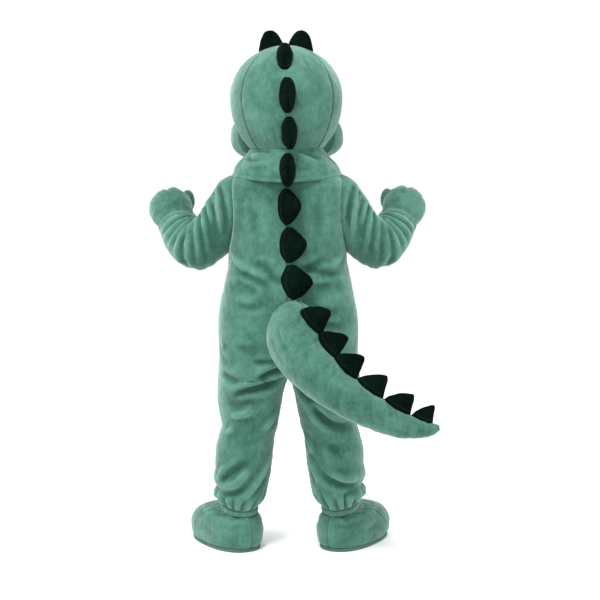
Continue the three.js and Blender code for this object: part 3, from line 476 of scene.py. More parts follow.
def cutSize(points):
    # the flat size of a cut: its longest row and column and the area of its unfolded form
    width = arcAlong(points, 1)[:, -1].max() / 1000
    length = arcAlong(points, 0)[-1].max() / 1000
    a, b = points[1:, 1:] - points[:-1, :-1], points[1:, :-1] - points[:-1, 1:]
    area = np.linalg.norm(np.cross(a, b), axis=-1).sum() / 2e6
    return round(width, 3), round(length, 3), round(min(area, 0.999 * width * length), 4)


def declareCloth(piece, points, ring=False):
    flat = np.concatenate([points, points[:, :1]], 1) if ring else points
    width, length, area = cutSize(flat)
    print(f"  {piece.name}: cut {width:.3f} x {length:.3f} m, area {area:.3f} m2")


# Bodysuit
suit = {
    "thickness": 3.0,
    "grid": 6.2,
    "panelWidth": 330.0,
    "turnedOut": 34.0,
    "ankle": (189.0, 7.0, 143.0),
    "ankleRise": 0.25,
    "ankleRadius": 68.0,
    "gathersPerPanel": 7,
    "gatherDepth": 10.0,
    "foldDepth": 1.35,
    "uneven": ((1.1, 120), (0.5, 34)),
}
bodySections = columnsOf("z centre half back front shift square", """
1408 0 150 118 112 0 2.2
1396 0 176 131 126 0 2.4
1378 0 195 141 138 0 2.8
1340 0 204 149 150 0 3.2
1270 0 207 152 164 0 3.3
1190 0 209 154 176 0 3.2
1095 0 213 157 188 0 2.8
1028 0 223 162 194 0 2.6
984 0 232 167 197 0 2.5
918 0 246 176 198 0 2.4
851 0 255 184 194 0 2.4
784 0 256 188 186 0 2.4
730 14 241 186 177 0 2.4
695 62 194 181 170 0 2.3
668 108 150 175 163 0 2.2
650 130 130 170 157 0 2.1
627 136 126 164 150 0 2.1
560 144 120 148 138 -2 2.1
514 145 113 138 131 -4 2.1
469 146 105 128 124 -4 2.1
424 158 104 122 118 -2 2.1
378 166 107 121 114 0 2.1
333 170 107 119 112 2 2.1
287 174 105 114 109 4 2.1
241 178 98 104 101 6 2.1
208 184 89 92 90 7 2.1
180 189 75 76 76 7 2.0
165.8 189 68 68 68 7 2.0
""")
bodyTop, bodyBottom, lastFoldHeight = 1408.0, 165.8, 262.0

# face, side, width, depth, then the x and z of each point of the crease
bodyFoldText = """
back both 14 -7  123 1078  84 1060  34 1034
back both 10 6  201 1105  180 1081  158 1060
back both 14 -6  198 1041  166 1028  134 1024
back left 14 -6  77 1032  41 1022  4 993
back right 15 -5  60 1040  34 1018  10 985
back both 22 -5  213 979  152 993  92 982
back left 11 -6  198 1066  150 1034  96 1006  46 988
back left 10 4  186 1036  138 1008  90 988
back right 11 -6  36 1062  84 1050  134 1034  192 1044
back right 10 4  60 1012  112 1004  168 1018
back left 12 -5  188 930  130 918  70 934
back right 12 -5  60 842  130 850  200 836
back left 18 -4  124 1284  110 1220  122 1163
back right 18 -4  110 1300  104 1240  118 1170
back right 16 -5  190 905  140 890  96 900
back left 9 -7  130 731  99 722  60 723  37 735
back left 13 -16  115 652  84 672  45 691  10 699
back left 13 -15  214 588  155 617  85 633  7 670
back left 12 9  216 516  165 528  129 546
back left 14 8  104 456  70 487  48 512  32 544
back left 12 -9  244 672  209 661  170 649
back left 12 -5  187 775  141 767  98 752
back left 12 6  242 781  230 751  199 735
back left 10 6  230 446  212 459  198 470
back left 16 -6  227 560  176 568  118 593
back left 11 7  231 331  252 295  261 269
back left 13 -10  258 270  231 286  185 323  143 349
back left 12 7  253 248  196 264  165 300  145 326
back left 11 -8  254 214  197 230  161 251
back left 12 7  177 203  140 241  93 303  71 355
back right 14 -15  70 566  108 526  147 494  194 474  237 466
back right 14 -10  16 670  32 631  70 584  109 568
back right 13 -9  60 700  120 690  190 655
back right 12 -6  90 770  150 785  215 760
back right 14 7  53 448  75 405  88 368
back right 16 -7  140 416  165 391  187 383
back right 12 7  67 371  91 308  116 251
back right 13 -10  111 311  152 274  214 253  256 253
back right 12 7  152 311  204 279  256 269
back right 11 -8  188 214  219 224  260 219
front both 14 -6  196 1060  150 1040  96 1034
front both 12 6  200 1110  176 1080  150 1058
front left 18 -5  180 960  120 948  60 962
front right 18 -5  190 940  130 925  70 940
front both 14 -12  18 668  70 646  130 622
front left 13 -10  226 600  160 590  90 560
front right 13 -10  230 580  170 572  84 540
front both 12 7  210 510  160 528  110 552
front left 13 -9  250 420  180 440  110 426
front right 13 -9  252 400  190 425  120 418
front both 12 -8  255 300  200 322  130 350
front left 12 7  90 380  120 330  150 290
front right 12 7  94 360  126 318  160 276
front both 11 -8  250 232  205 246  160 262
"""


def bodyPoint(side, angle, z):
    s = sample(bodySections, "z", z)
    depth = np.where(np.cos(angle) >= 0, s["back"], s["front"])
    radius = sectionRadius(angle, s["half"], depth, s["square"])
    x = s["centre"] + radius * np.sin(angle)
    y = s["shift"] + radius * np.cos(angle)
    turn = math.radians(suit["turnedOut"])
    alongFoot = (x - suit["ankle"][0]) * math.sin(turn) - (y - suit["ankle"][1]) * math.cos(turn)
    tilt = suit["ankleRise"] * (1 - smooth(z, bodyBottom, lastFoldHeight))
    return place(side * x, y, z + tilt * alongFoot)


def bodyReach(s, face, share):
    # how far back or forward the suit is at a share of its half width
    return s[face] * (1 - share ** s["square"]) ** (1 / s["square"])


def bodySurface(side, face):
    # u runs from the middle or the inseam to the outer side, v is the height
    def surface(u, v):
        s = sample(bodySections, "z", v)
        reach = seamGap / 2 - s["centre"]
        inseam = -math.pi / 2 + seamGap / 2 / s["half"]
        along = bodyReach(s, face, np.clip(np.abs(reach / s["half"]), 0, 1))
        middle = np.where(reach <= -s["half"], inseam, np.maximum(inseam, np.arctan2(reach, along)))
        outer = math.pi / 2 - seamGap / 2 / s["half"]
        angle = middle + (outer - middle) * u
        return bodyPoint(side, angle if face == "back" else math.pi - angle, v)
    return surface


def onBody(face, x, z):
    s = sample(bodySections, "z", z)
    along = bodyReach(s, face, np.clip(np.abs((np.abs(x) - s["centre"]) / s["half"]), 0, 1))
    return place(x, s["shift"] + (along if face == "back" else -along), z)


def insideBody(points):
    s = sample(bodySections, "z", points[..., 2])
    depth = np.where(points[..., 1] >= s["shift"], s["back"], s["front"])
    across = np.abs((np.abs(points[..., 0]) - s["centre"]) / s["half"]) ** s["square"]
    across = np.where(np.abs(points[..., 0]) < s["centre"], 0, across)
    return across + np.abs((points[..., 1] - s["shift"]) / depth) ** s["square"] < 1


def readFolds(text):
    folds = []
    for line in text.strip().splitlines():
        face, which, width, depth, *rest = line.split()
        x, z = finePath(np.array(rest, float).reshape(-1, 2), 9)
        for side in sides.values() if which == "both" else [sides[which]]:
            folds.append((onBody(face, side * x, z), float(width), float(depth)))
    return folds


bodyFolds = readFolds(bodyFoldText)
bodySeeds = {"back": 11, "front": 23}
armhole = {"y": 2.0, "z": 1240.0, "deep": 100.0, "tall": 145.0, "fromX": 150.0, "cut": 0.96,
           "radius": 115.0, "edge": ((1.6, 120.75, 14), (-1.8, 147.2, 18))}


def armholeShare(points):
    # 1 on the armhole's seam, less inside it
    across = (points[..., 1] - armhole["y"]) / armhole["deep"]
    up = (points[..., 2] - armhole["z"]) / armhole["tall"]
    return np.where(np.abs(points[..., 0]) > armhole["fromX"], np.hypot(across, up), 9)


def bodyRelief(points, seed):
    relief = suit["foldDepth"] * foldRelief(points, bodyFolds) + uneven(points, seed, suit["uneven"])
    # the cloth is full beside the armhole's seam and drawn in behind it
    away = armholeShare(points) * armhole["radius"]
    low = 1 - 0.7 * smooth(points[..., 2], 1290, 1370)
    return relief + low * profile(away, armhole["edge"])


def ankleGathers(u, v, seed):
    # tubular folds of uneven width and height, drawn in above the ankle band
    rng = np.random.default_rng(seed)
    count = suit["gathersPerPanel"]
    tops = rng.uniform(212, 268, count + 2)
    warp = u + 0.016 * np.sin(2 * math.pi * u * 2 + rng.uniform(0, 6)) * np.sin(math.pi * u)
    pleat = warp * count
    top = np.interp(pleat, np.arange(count + 2), tops)
    fade = smooth(v, 166, 186) * (1 - smooth(v, 198, top))
    shape = 1.7 * np.abs(np.sin(math.pi * pleat)) ** 0.75 - 1.05
    return suit["gatherDepth"] * fade * shape + 2 * smooth(v, 166, 200) * (1 - smooth(v, 215, 262))


# bulges and pinches down the outer side of each lower leg, at heights above the floor
legLumps = {"left": ((4, 268, 20), (-8, 232, 13), (6, 200, 13), (-3, 300, 14)),
            "right": ((4, 280, 20), (-9, 238, 13), (7, 205, 14), (-3, 318, 14))}


for sideName, side in sides.items():
    for face in ("back", "front"):
        node = f"body_{face}_{sideName}"
        surface = bodySurface(side, face)
        us = spread(0, 1, suit["panelWidth"], suit["grid"])
        vs = spread(bodyTop, bodyBottom, bodyTop - bodyBottom, suit["grid"])
        u, v = np.meshgrid(us, vs)
        s = sample(bodySections, "z", v)
        inside = place(side * np.maximum(s["centre"], s["half"] * 0.3), s["shift"], v)
        points = surface(u, v)
        normals = normalsOf(surface, u, v, inside)
        across = arcAlong(points, 1)
        down = arcAlong(points, 0)
        seed = bodySeeds[face]
        relief = bodyRelief(points, seed) + ankleGathers(u, v, seed + side)
        relief += smooth(u, 0.55, 0.9) * profile(v, legLumps[sideName])
        relief += sideSeams(across, down, 4, 1)
        middle = points[:-1, :-1] + (points[1:, 1:] - points[:-1, :-1]) / 2
        keep = armholeShare(middle) > armhole["cut"]
        piece = shell(node + "_cloth", points, normals, relief, suit["thickness"], "fleece", [node],
                      keep=keep)
        declareCloth(piece, points)
print("bodysuit")

# Sleeves
sleeve = {"columns": 116, "length": 470.0, "grid": 5.8, "thickness": 3.0, "girth": 620.0,
          "foldDepth": 1.2, "uneven": ((1.0, 90), (0.4, 28)), "cuffPuckers": 19,
          "cuff": ((2.2, 7, 6), (-1.8, 18, 6)), "armholeTuck": ((-4.5, 0, 12),)}
sleeveSections = columnsOf("at x y z turn away along across", """
0 140 0 1248 3 0 144 98
1 207 0 1240 3 0 145 100
2 246 5 1218 -1 0 138 101
3 278 11 1184 0 2 130 99
4 316 16 1156 7 8 115 93
5 351 10 1148 21 18 95 86
6 376 -14 1163 39 31 82 79
7 396 -54 1188 58 40 75 74
8 408 -92 1205 67 44 70 69
""")
# width, depth, then for each point of a crease the share of the way round and the place along
sleeveFoldText = """
8 -3  0.98 6.9  0.75 7.2  0.52 7.35
8 -7  0.99 6.55  0.78 6.65  0.55 6.8
9 -7  0.98 6.25  0.80 6.1  0.58 6.2
9 -8  0.97 5.95  0.82 5.6  0.60 5.55
9 -8  0.95 5.7  0.83 5.2  0.64 4.95
9 -6  0.93 5.5  0.85 4.9  0.70 4.5
10 -9  0.95 3.07  0.90 2.9  0.80 2.5  0.71 2.2  0.62 2.0
9 -7  0.95 2.52  0.90 2.3  0.80 2.0
11 -10  0.95 3.67  0.90 3.5  0.80 3.1  0.70 2.8  0.60 2.6
11 -11  0.95 4.28  0.90 4.1  0.80 3.75  0.69 3.45  0.58 3.3
10 -9  0.97 4.9  0.90 4.6  0.80 4.25  0.70 4.0  0.58 3.9
9 5  0.95 3.38  0.90 3.2  0.81 2.8  0.72 2.4
9 5  0.95 3.98  0.90 3.8  0.80 3.4  0.70 3.0
8 -3  0.02 6.9  0.25 7.15  0.46 7.3
9 -7  0.01 6.4  0.22 6.4  0.44 6.5
9 -8  0.03 6.0  0.20 5.7  0.42 5.6
9 -8  0.05 5.6  0.19 5.1  0.38 4.9
10 -7  0.02 4.3  0.14 4.0  0.28 3.5
10 -7  0.01 3.6  0.13 3.2  0.26 2.8
9 -5  0.02 2.9  0.12 2.5  0.24 2.2
9 -9  0.95 2.0  0.90 1.85  0.82 1.6  0.74 1.45  0.66 1.4
9 5  0.95 2.35  0.90 2.2  0.82 1.95  0.74 1.75  0.66 1.7
10 -8  0.80 4.75  0.70 4.6  0.60 4.5  0.53 4.45
9 -6  0.84 5.1  0.73 4.95  0.63 4.85  0.55 4.8
9 5  0.78 4.9  0.69 4.75  0.60 4.65
12 -3  0.56 4.2  0.50 4.3  0.43 4.2
12 -2  0.58 3.2  0.50 3.3  0.42 3.2
"""


def armAxes(table):
    # along the arm, across it on the side of its bend, and across it towards the front
    turn, away = np.radians(table["turn"]), np.radians(table["away"])
    inPlane = place(-np.sin(turn), 0, np.cos(turn))
    travel = place(np.cos(turn) * np.cos(away), -np.sin(away), np.sin(turn) * np.cos(away))
    return travel, inPlane, np.cross(travel, inPlane)


def sleeveSurface(side):
    def surface(u, v):
        s = sample(sleeveSections, "at", v)
        _, inPlane, across = armAxes(s)
        around = 2 * math.pi * u
        point = place(s["x"], s["y"], s["z"])
        point = point + inPlane * (s["along"] * np.cos(around))[..., None]
        point = point + across * (s["across"] * np.sin(around))[..., None]
        return point * [side, 1, 1]
    return surface


for sideName, side in sides.items():
    node = f"sleeve_{sideName}"
    surface = sleeveSurface(side)
    us = shares(sleeve["columns"])
    share = spread(0, 1, sleeve["length"], sleeve["grid"])
    u, v, points = seated(surface, us, insideBody, 0.5, 3.4, 8, share)
    s = sample(sleeveSections, "at", v)
    normals = normalsOf(surface, u, v, place(side * s["x"], s["y"], s["z"]))
    folds = []
    for width, depth, around, along in readPaths(sleeveFoldText, 9):
        # each side's creases lie a little apart from the other's
        shift = 0.08 * math.sin(7 * depth + 3 * side + along[0])
        folds.append((surface(around, along + shift), width, depth))
    down = arcAlong(points, 0)
    relief = sleeve["foldDepth"] * foldRelief(points, folds) + uneven(points, 31, sleeve["uneven"])
    underarm = 0.25 + 0.75 * smooth(-np.cos(2 * math.pi * u), -0.6, 0.4)
    relief += profile(down, sleeve["armholeTuck"]) * underarm
    toCuff = down[-1:] - down
    relief += profile(toCuff, sleeve["cuff"])
    puckers = np.sin(2 * math.pi * sleeve["cuffPuckers"] * u + 1.7 * np.sin(9 * u))
    relief += 0.9 * puckers * bump(toCuff - 22, 16)
    # underarm seam
    relief += seamTuck(np.abs(u - 0.5) * sleeve["girth"], down, 2)
    piece = shell(node + "_cloth", points, normals, relief, sleeve["thickness"], "fleece", [node],
                  ring=True)
    declareCloth(piece, points, ring=True)
print("sleeves")

# Head: a hollow ball of plush over foam in four panels
head = {"radiusX": 203.0, "back": 208.0, "front": 200.0, "above": 190.0, "below": 232.0,
        "centreZ": 1657.0, "neckZ": 1480.0, "wall": 10.0, "length": 500.0, "grid": 6.4,
        "uneven": ((0.8, 80), (0.35, 24)), "hem": ((1.5, 8, 8),)}
headPanels = {"head_back": (-55, 50), "head_side_left": (50, 122), "head_front": (122, 238),
              "head_side_right": (238, 305)}
# width, depth, then the angle from the back and from the crown of each point of a crease
headFoldText = """
5 -1.6  14 108  13 124  11 137
5 -1.4  -12 110  -14 126  -13 138
5 -1.4  27 112  24 126  22 138
5 -1.4  -30 106  -27 124  -24 138
9 -1.6  20 36  26 52  24 70
9 -1.6  -22 40  -28 58  -24 78
"""


def headPoint(around, down):
    across = np.sin(down)
    depth = np.where(np.cos(around) >= 0, head["back"], head["front"])
    tall = np.where(np.cos(down) >= 0, head["above"], head["below"])
    x = head["radiusX"] * across * np.sin(around)
    return place(x, depth * across * np.cos(around), head["centreZ"] + tall * np.cos(down))


def insideHead(points):
    depth = np.where(points[..., 1] >= 0, head["back"], head["front"])
    tall = np.where(points[..., 2] >= head["centreZ"], head["above"], head["below"])
    x, y, z = points[..., 0] / head["radiusX"], points[..., 1] / depth, points[..., 2] - head["centreZ"]
    return x ** 2 + y ** 2 + (z / tall) ** 2 < 1


neckAngle = math.acos((head["neckZ"] - head["centreZ"]) / head["below"])
headFolds = [(headPoint(np.radians(around), np.radians(down)), width, depth)
             for width, depth, around, down in readPaths(headFoldText)]

for node, (fromDegrees, toDegrees) in headPanels.items():
    def surface(u, v, a=math.radians(fromDegrees), b=math.radians(toDegrees)):
        inset = seamGap / 2 / (head["radiusX"] * np.maximum(np.sin(v), 0.01))
        return headPoint(a + inset + (b - a - 2 * inset) * u, v)
    width = math.radians(toDegrees - fromDegrees) * head["radiusX"]
    us = spread(0, 1, width, head["grid"])
    vs = spread(math.radians(0.5), neckAngle, head["length"], head["grid"])
    u, v = np.meshgrid(us, vs)
    points = surface(u, v)
    normals = normalsOf(surface, u, v, np.array([0, 0, head["centreZ"]]))
    across = arcAlong(points, 1)
    down = arcAlong(points, 0)
    taper = smooth(down, 10, 60)
    relief = foldRelief(points, headFolds) + uneven(points, 41, head["uneven"])
    relief += taper * sideSeams(across, down, 3, 5)
    relief += profile(down[-1:] - down, head["hem"])
    piece = shell(node + "_plush", points, normals, relief, head["wall"], "fleece", [node])
print("head")

# Cowl: the soft collar that falls from under the head to the shoulders
cowl = {"columns": 190, "length": 160.0, "grid": 5.0, "wall": 4.0, "uneven": ((1.2, 70), (0.5, 24)),
        "hem": ((2.0, 6, 6), (-1.4, 17, 6)), "neck": ((-3.0, 0, 9),)}
cowlSections = columnsOf("at half deep sideZ middleZ", """
0 128 132 1488 1488
1 140 144 1468 1464
2 156 156 1448 1440
3 178 168 1427 1412
4 193 176 1407 1386
5 199 177 1380 1361
""")
# width, depth, then the angle from the back and the place down the cowl of each point
cowlFoldText = """
6 -5  52 0.9  36 0.8  18 0.95
7 -4  -12 0.9  -30 0.8  -50 0.95
9 -5  64 2.0  48 2.25  30 2.2
9 5  60 1.3  50 1.6  38 1.5
9 5  -9 1.1  -24 1.8  -38 2.7
8 -5  -20 1.0  -36 1.6  -50 2.3
10 -4  -5 2.7  -18 3.2  -32 3.3
12 -4  15 2.9  32 3.3  48 3.2
11 -4  78 1.4  74 2.4  66 3.4
11 -4  -80 1.5  -75 2.5  -68 3.4
8 -5  150 0.9  130 1.0  110 0.9
8 -5  -148 0.9  -128 1.0  -108 0.9
10 -5  172 1.8  150 2.3  128 2.2
10 -5  -170 2.0  -150 2.5  -128 2.3
10 4  160 3.0  140 3.3  118 3.2
10 4  -160 2.9  -138 3.3  -116 3.1
"""


def cowlSurface(u, v):
    s = sample(cowlSections, "at", v)
    around = 2 * math.pi * u
    share = np.cos(around) ** 2
    wave = 1.5 * smooth(v, 3, 5) * np.cos(5 * around + 0.6)
    x = (s["half"] + wave) * np.sin(around)
    z = s["sideZ"] + (s["middleZ"] - s["sideZ"]) * share
    return place(x, (s["deep"] + wave) * np.cos(around), z)


cowlFolds = [(cowlSurface(around / 360, down), width, depth)
             for width, depth, around, down in readPaths(cowlFoldText, 7)]
us = shares(cowl["columns"])
u, v = np.meshgrid(us, spread(0, 5, cowl["length"], cowl["grid"]))
s = sample(cowlSections, "at", v)
points = cowlSurface(u, v)
normals = normalsOf(cowlSurface, u, v, place(0, 0, s["middleZ"] - 60))
down = arcAlong(points, 0)
toHem = down[-1:] - down
relief = foldRelief(points, cowlFolds) + uneven(points, 51, cowl["uneven"])
relief += profile(toHem, cowl["hem"]) + profile(down, cowl["neck"])
piece = shell("cowl_cloth", points, normals, relief, cowl["wall"], "fleece", ["cowl"], ring=True)
declareCloth(piece, points, ring=True)
print("cowl")

# Snout and jaw
muzzleShape = {"columns": 120, "rows": 52, "square": 2.6, "rearBulge": 6.0, "frontBulge": 9.0,
               "endShares": (0.25, 0.5, 0.74, 0.9, 0.975), "uneven": ((1.3, 80), (0.5, 26))}
snoutSections = columnsOf("at y half top bottom", """
0 -90 178 1618 1430
1 -150 207 1622 1425
2 -210 212 1614 1428
3 -275 196 1594 1436
4 -340 178 1581 1444
5 -395 150 1571 1453
6 -420 96 1549 1472
""")
jawSections = columnsOf("at y half top bottom", """
0 -90 124 1456 1406
1 -150 154 1456 1396
2 -210 164 1456 1392
3 -275 162 1458 1396
4 -335 148 1462 1406
5 -378 124 1466 1420
6 -398 80 1466 1438
""")


def muzzle(sections):
    def surface(u, v):
        s = sample(sections, "at", v)
        high = (s["top"] - s["bottom"]) / 2
        across, upward = flatSection(2 * math.pi * u, s["half"], high, muzzleShape["square"])
        return place(across, s["y"], s["bottom"] + high + upward)
    return surface


for node, sections in (("snout_upper", snoutSections), ("jaw_lower", jawSections)):
    surface = muzzle(sections)
    us = shares(muzzleShape["columns"])
    share = np.linspace(0, 1, muzzleShape["rows"])
    u, v, points = seated(surface, us, insideHead, 0, 4, 6, share)
    s = sample(sections, "at", v)
    normals = normalsOf(surface, u, v, place(0, s["y"] + 40, (s["top"] + s["bottom"]) / 2))
    relief = uneven(points, 61, muzzleShape["uneven"])
    # a seam along the middle of the upper side only
    underneath = points[..., 2] < s["bottom"] + 20
    relief += seamTuck(np.abs(points[..., 0]) + 400 * underneath, points[..., 1], 6)
    rings = points + normals * relief[..., None]
    # both ends are rounded over, so that they are lit like the rest
    ends = []
    for ring, bulge in ((rings[0], muzzleShape["rearBulge"]), (rings[-1], -muzzleShape["frontBulge"])):
        middle = ring.mean(0)
        ends.append([middle + (ring - middle) * share + [0, bulge * (1 - share ** 2), 0]
                     for share in muzzleShape["endShares"]])
    tip = rings[-1].mean(0) + [0, -muzzleShape["frontBulge"], 0]
    rings = np.concatenate([ends[0], rings, ends[1][::-1]])
    # the rear rings get a lighter colour through a high fold value: painted light that offsets the shade
    # the head casts on them
    rear = np.full((len(ends[0]), len(us)), 7.0)
    relief = np.concatenate([rear, relief, 0 * rear])
    piece = stuffed(node + "_plush", rings, "fleece", [node], relief, tip)
print("snout")

# Round pieces on the head: eyes, pupils, nostrils
features = {"eyeAround": 24.0, "eyeDown": 46.0, "eyeRadius": 52.0, "pupil": 24.0,
            "nostril": (50.0, -392.0, 1572.0), "nostrilRadius": 17.0}


def dome(name, centre, radii, outward, inside, slot, node):
    # the part of a ball that stands out of what it is sewn to
    outward = unit(np.asarray(outward, float))
    sideways = unit(np.cross(outward, [0, 0, 1]))
    upward = np.cross(sideways, outward)

    def surface(u, v):
        around = 2 * math.pi * u
        ring = np.cos(around)[..., None] * sideways + np.sin(around)[..., None] * upward
        ring = np.sin(v)[..., None] * ring
        return centre + (ring - np.cos(v)[..., None] * outward) * radii
    _, _, points = seated(surface, shares(48), inside, 0.02, 3.0, 3.08, np.linspace(0, 1, 24), 0.02)
    return stuffed(name, points, slot, [node], None, centre + outward * radii)


def insideSnout(points):
    s = sample(snoutSections, "y", points[..., 1])
    high = (s["top"] - s["bottom"]) / 2
    x = np.abs(points[..., 0] / s["half"]) ** muzzleShape["square"]
    z = np.abs((points[..., 2] - s["bottom"] - high) / high) ** muzzleShape["square"]
    return (x + z < 1) & (points[..., 1] > snoutSections["y"][-1])


for sideName, side in sides.items():
    around = math.pi - math.radians(features["eyeAround"]) * side
    centre = headPoint(around, math.radians(features["eyeDown"]))
    outward = centre - [0, 0, head["centreZ"]]
    radius = np.array([features["eyeRadius"]] * 3)
    piece = dome(f"eye_{sideName}_ball", centre, radius, outward, insideHead, "eye", f"eye_{sideName}")
    gaze = unit(np.array([0.12 * side, -1, 0.1]))
    pupilAt = centre + gaze * features["eyeRadius"] * 0.86

    def insideEye(points):
        return np.linalg.norm(points - centre, axis=-1) < features["eyeRadius"] + 0.1
    radii = np.array([1.0, 0.5, 1.2]) * features["pupil"]
    piece = dome(f"pupil_{sideName}_disc", pupilAt, radii, gaze, insideEye, "pupil", f"pupil_{sideName}")
    x, y, z = features["nostril"]
    radii = np.array([1.2, 1.0, 1.0]) * features["nostrilRadius"]
    piece = dome(f"nostril_{sideName}_pad", np.array([side * x, y, z]), radii, [0, -0.5, 1], insideSnout,
                 "dark_fleece", f"nostril_{sideName}")

# Horns: two rounded lobes at the crown
horn = {"around": 51.0, "down": 19.0, "lean": 0.12, "height": 68.0, "wide": 49.0, "deep": 28.0,
        "bluntness": 0.38, "columns": 56, "rows": 22, "seam": ((-1.8, 0, 3),), "uneven": ((0.6, 26),)}
for sideName, side in sides.items():
    foot = headPoint(math.pi - math.radians(horn["around"]) * side, math.radians(horn["down"]))
    up = unit(np.array([horn["lean"] * side, 0, 1]))
    along = unit(np.array([1, 0, -horn["lean"] * side]))
    depthWay = np.cross(up, along)

    def surface(u, v):
        swell = (1 - np.maximum(v, 0)) ** horn["bluntness"]
        deep, wide = horn["deep"] * swell, horn["wide"] * swell
        across, lengthwise = flatSection(2 * math.pi * u, deep, wide, 2)
        return (foot + up * (horn["height"] * v)[..., None] + along * lengthwise[..., None]
                + depthWay * across[..., None])
    us = shares(horn["columns"])
    share = closerToTip(horn["rows"])
    u, v, points = seated(surface, us, insideHead, -0.5, 0.6, lastBeforeTip, share)
    inside = foot + up * (horn["height"] * np.minimum(v, 0.4))[..., None]
    normals = normalsOf(surface, u, v, inside)
    offMiddle = np.abs((points - foot) @ depthWay)
    relief = profile(offMiddle, horn["seam"]) + uneven(points, 71, horn["uneven"])
    tip = foot + up * horn["height"]
    stuffedPlush(f"horn_{sideName}", points, normals, relief, "dark_fleece", tip)
print("face and horns")

# Tail
tail = {"rows": 132, "columns": 44, "end": 7.96, "uneven": ((1.1, 60), (0.6, 20)),
        "root": ((-4.0, 0, 9),)}
tailSections = columnsOf("at x y z upX upY upZ high wide", """
0 -8 100 850 -0.1 0.3 0.95 118 98
1 -24 190 812 -0.35 0.3 0.89 112 95
2 -62 262 748 -0.68 0.25 0.69 95 88
3 -130 318 680 -0.66 0.1 0.74 80 78
4 -216 345 619 -0.55 0.05 0.84 68 66
5 -313 350 563 -0.44 0 0.9 57 57
6 -407 342 522 -0.27 0 0.96 43 43
7 -484 330 508 -0.05 0 1 27 27
8 -524 320 512 0 0 1 11 11
""")
# width, depth, then the angle round from the upper seam and the place along the tail
tailFoldText = """
7 -4  64 1.0  86 1.5  96 2.2
3 -2.8  31 0.66  57 0.87  94 1.15  112 1.55  118 2.2
6 -3  20 1.1  34 1.3  50 1.35
6 -3  24 1.5  44 1.7  60 1.6
6 -3  16 1.9  36 2.1  56 2.0
7 -3  60 2.6  84 2.9  110 2.8
7 -3  30 3.0  50 3.2  74 3.1
7 -3  90 3.6  112 3.8  134 3.7
6 -3  24 4.0  44 4.15  66 4.1
6 -3  80 4.6  104 4.8  126 4.7
6 -2  30 5.1  52 5.25  78 5.2
6 -2  60 5.9  88 6.0  112 5.95
6 -4  -64 1.2  -86 1.6  -110 1.9
7 -3  -30 2.2  -58 2.4  -84 2.3
7 -3  -40 3.4  -70 3.6  -100 3.5
6 -3  -30 4.6  -62 4.7  -90 4.6
"""


def tailFrame(at):
    s = sample(tailSections, "at", at)
    before = sample(tailSections, "at", np.maximum(at - 0.05, 0))
    after = sample(tailSections, "at", np.minimum(at + 0.05, 8))
    ahead = place(after["x"], after["y"], after["z"])
    travel = unit(ahead - place(before["x"], before["y"], before["z"]))
    up = place(s["upX"], s["upY"], s["upZ"])
    up = unit(up - travel * np.sum(up * travel, -1, keepdims=True))
    return s, place(s["x"], s["y"], s["z"]), travel, up, np.cross(travel, up)


def tailSurface(around, at):
    s, centre, _, up, sideways = tailFrame(at)
    return (centre + up * (s["high"] * np.cos(around))[..., None]
            + sideways * (s["wide"] * np.sin(around))[..., None])


tailFolds = [(tailSurface(np.radians(around), along), width, depth)
             for width, depth, around, along in readPaths(tailFoldText, 7)]
for sideName, side in sides.items():
    def surface(u, v):
        around = math.pi * u
        s, centre, _, up, sideways = tailFrame(v)
        outward = side * (seamGap / 2 + s["wide"] * np.sin(around))
        return centre + up * (s["high"] * np.cos(around))[..., None] + sideways * outward[..., None]
    us = np.linspace(0, 1, tail["columns"])
    share = np.linspace(0, 1, tail["rows"])
    u, v, points = seated(surface, us, insideBody, 0, 3, tail["end"], share)
    normals = unit(points - tailFrame(v)[1])
    across = arcAlong(points, 1)
    down = arcAlong(points, 0)
    relief = foldRelief(points, tailFolds) + uneven(points, 81, tail["uneven"])
    relief += sideSeams(across, down, 7, 8)
    relief = relief * smooth(across[:, -1:], 5, 60) + profile(down, tail["root"])
    tip = tailFrame(np.array(8.0))[1]
    stuffedPlush(f"tail_{sideName}", points, normals, relief, "fleece", tip)
print("tail")

# Plates of the spine
plateShape = {"sweep": {"head": 22.0, "cowl": 22.0, "back": -6.0, "tail": 22.0},
              "columns": 44, "rows": 18, "seam": ((-2.0, 0, 2.6),), "foot": ((-2.0, 0, 5),),
              "uneven": ((0.8, 30),), "seed": 90, "thinning": 0.42, "narrowing": 0.62,
              "square": 2.1, "cowlDepth": 174.0, "cowlSlope": 0.35}
# what it stands on, the place there, sideways, lean, length, height, thickness
plateText = """
head 42 3 0 128 68 60
head 88 -6 3 128 70 60
head 122 -11 4 124 70 60
cowl 1408 -4 2 120 66 58
back 1274 -2 34 134 80 60
back 1138 -11 42 134 84 60
back 1006 -22 48 132 88 60
tail 1.28 0 0 118 86 58
tail 2.28 0 0 120 84 56
tail 3.26 0 0 122 78 54
tail 4.33 0 0 118 74 50
tail 5.42 0 0 114 70 44
tail 6.6 0 0 88 62 34
"""


def turned(vector, axis, angle):
    return (vector * math.cos(angle) + np.cross(axis, vector) * math.sin(angle)
            + axis * (axis @ vector) * (1 - math.cos(angle)))


def insideCowl(points):
    table = {name: cowlSections[name][::-1] for name in ("middleZ", "deep", "half")}
    s = sample(table, "middleZ", points[..., 2])
    cloth = (points[..., 0] / s["half"]) ** 2 + (points[..., 1] / s["deep"]) ** 2 < 1
    return (cloth & (points[..., 2] > table["middleZ"][0])) | insideBody(points)


tailLine = np.linspace(0, 8, 320)
tailTable, tailCentres, _, tailUps, tailSideways = tailFrame(tailLine)


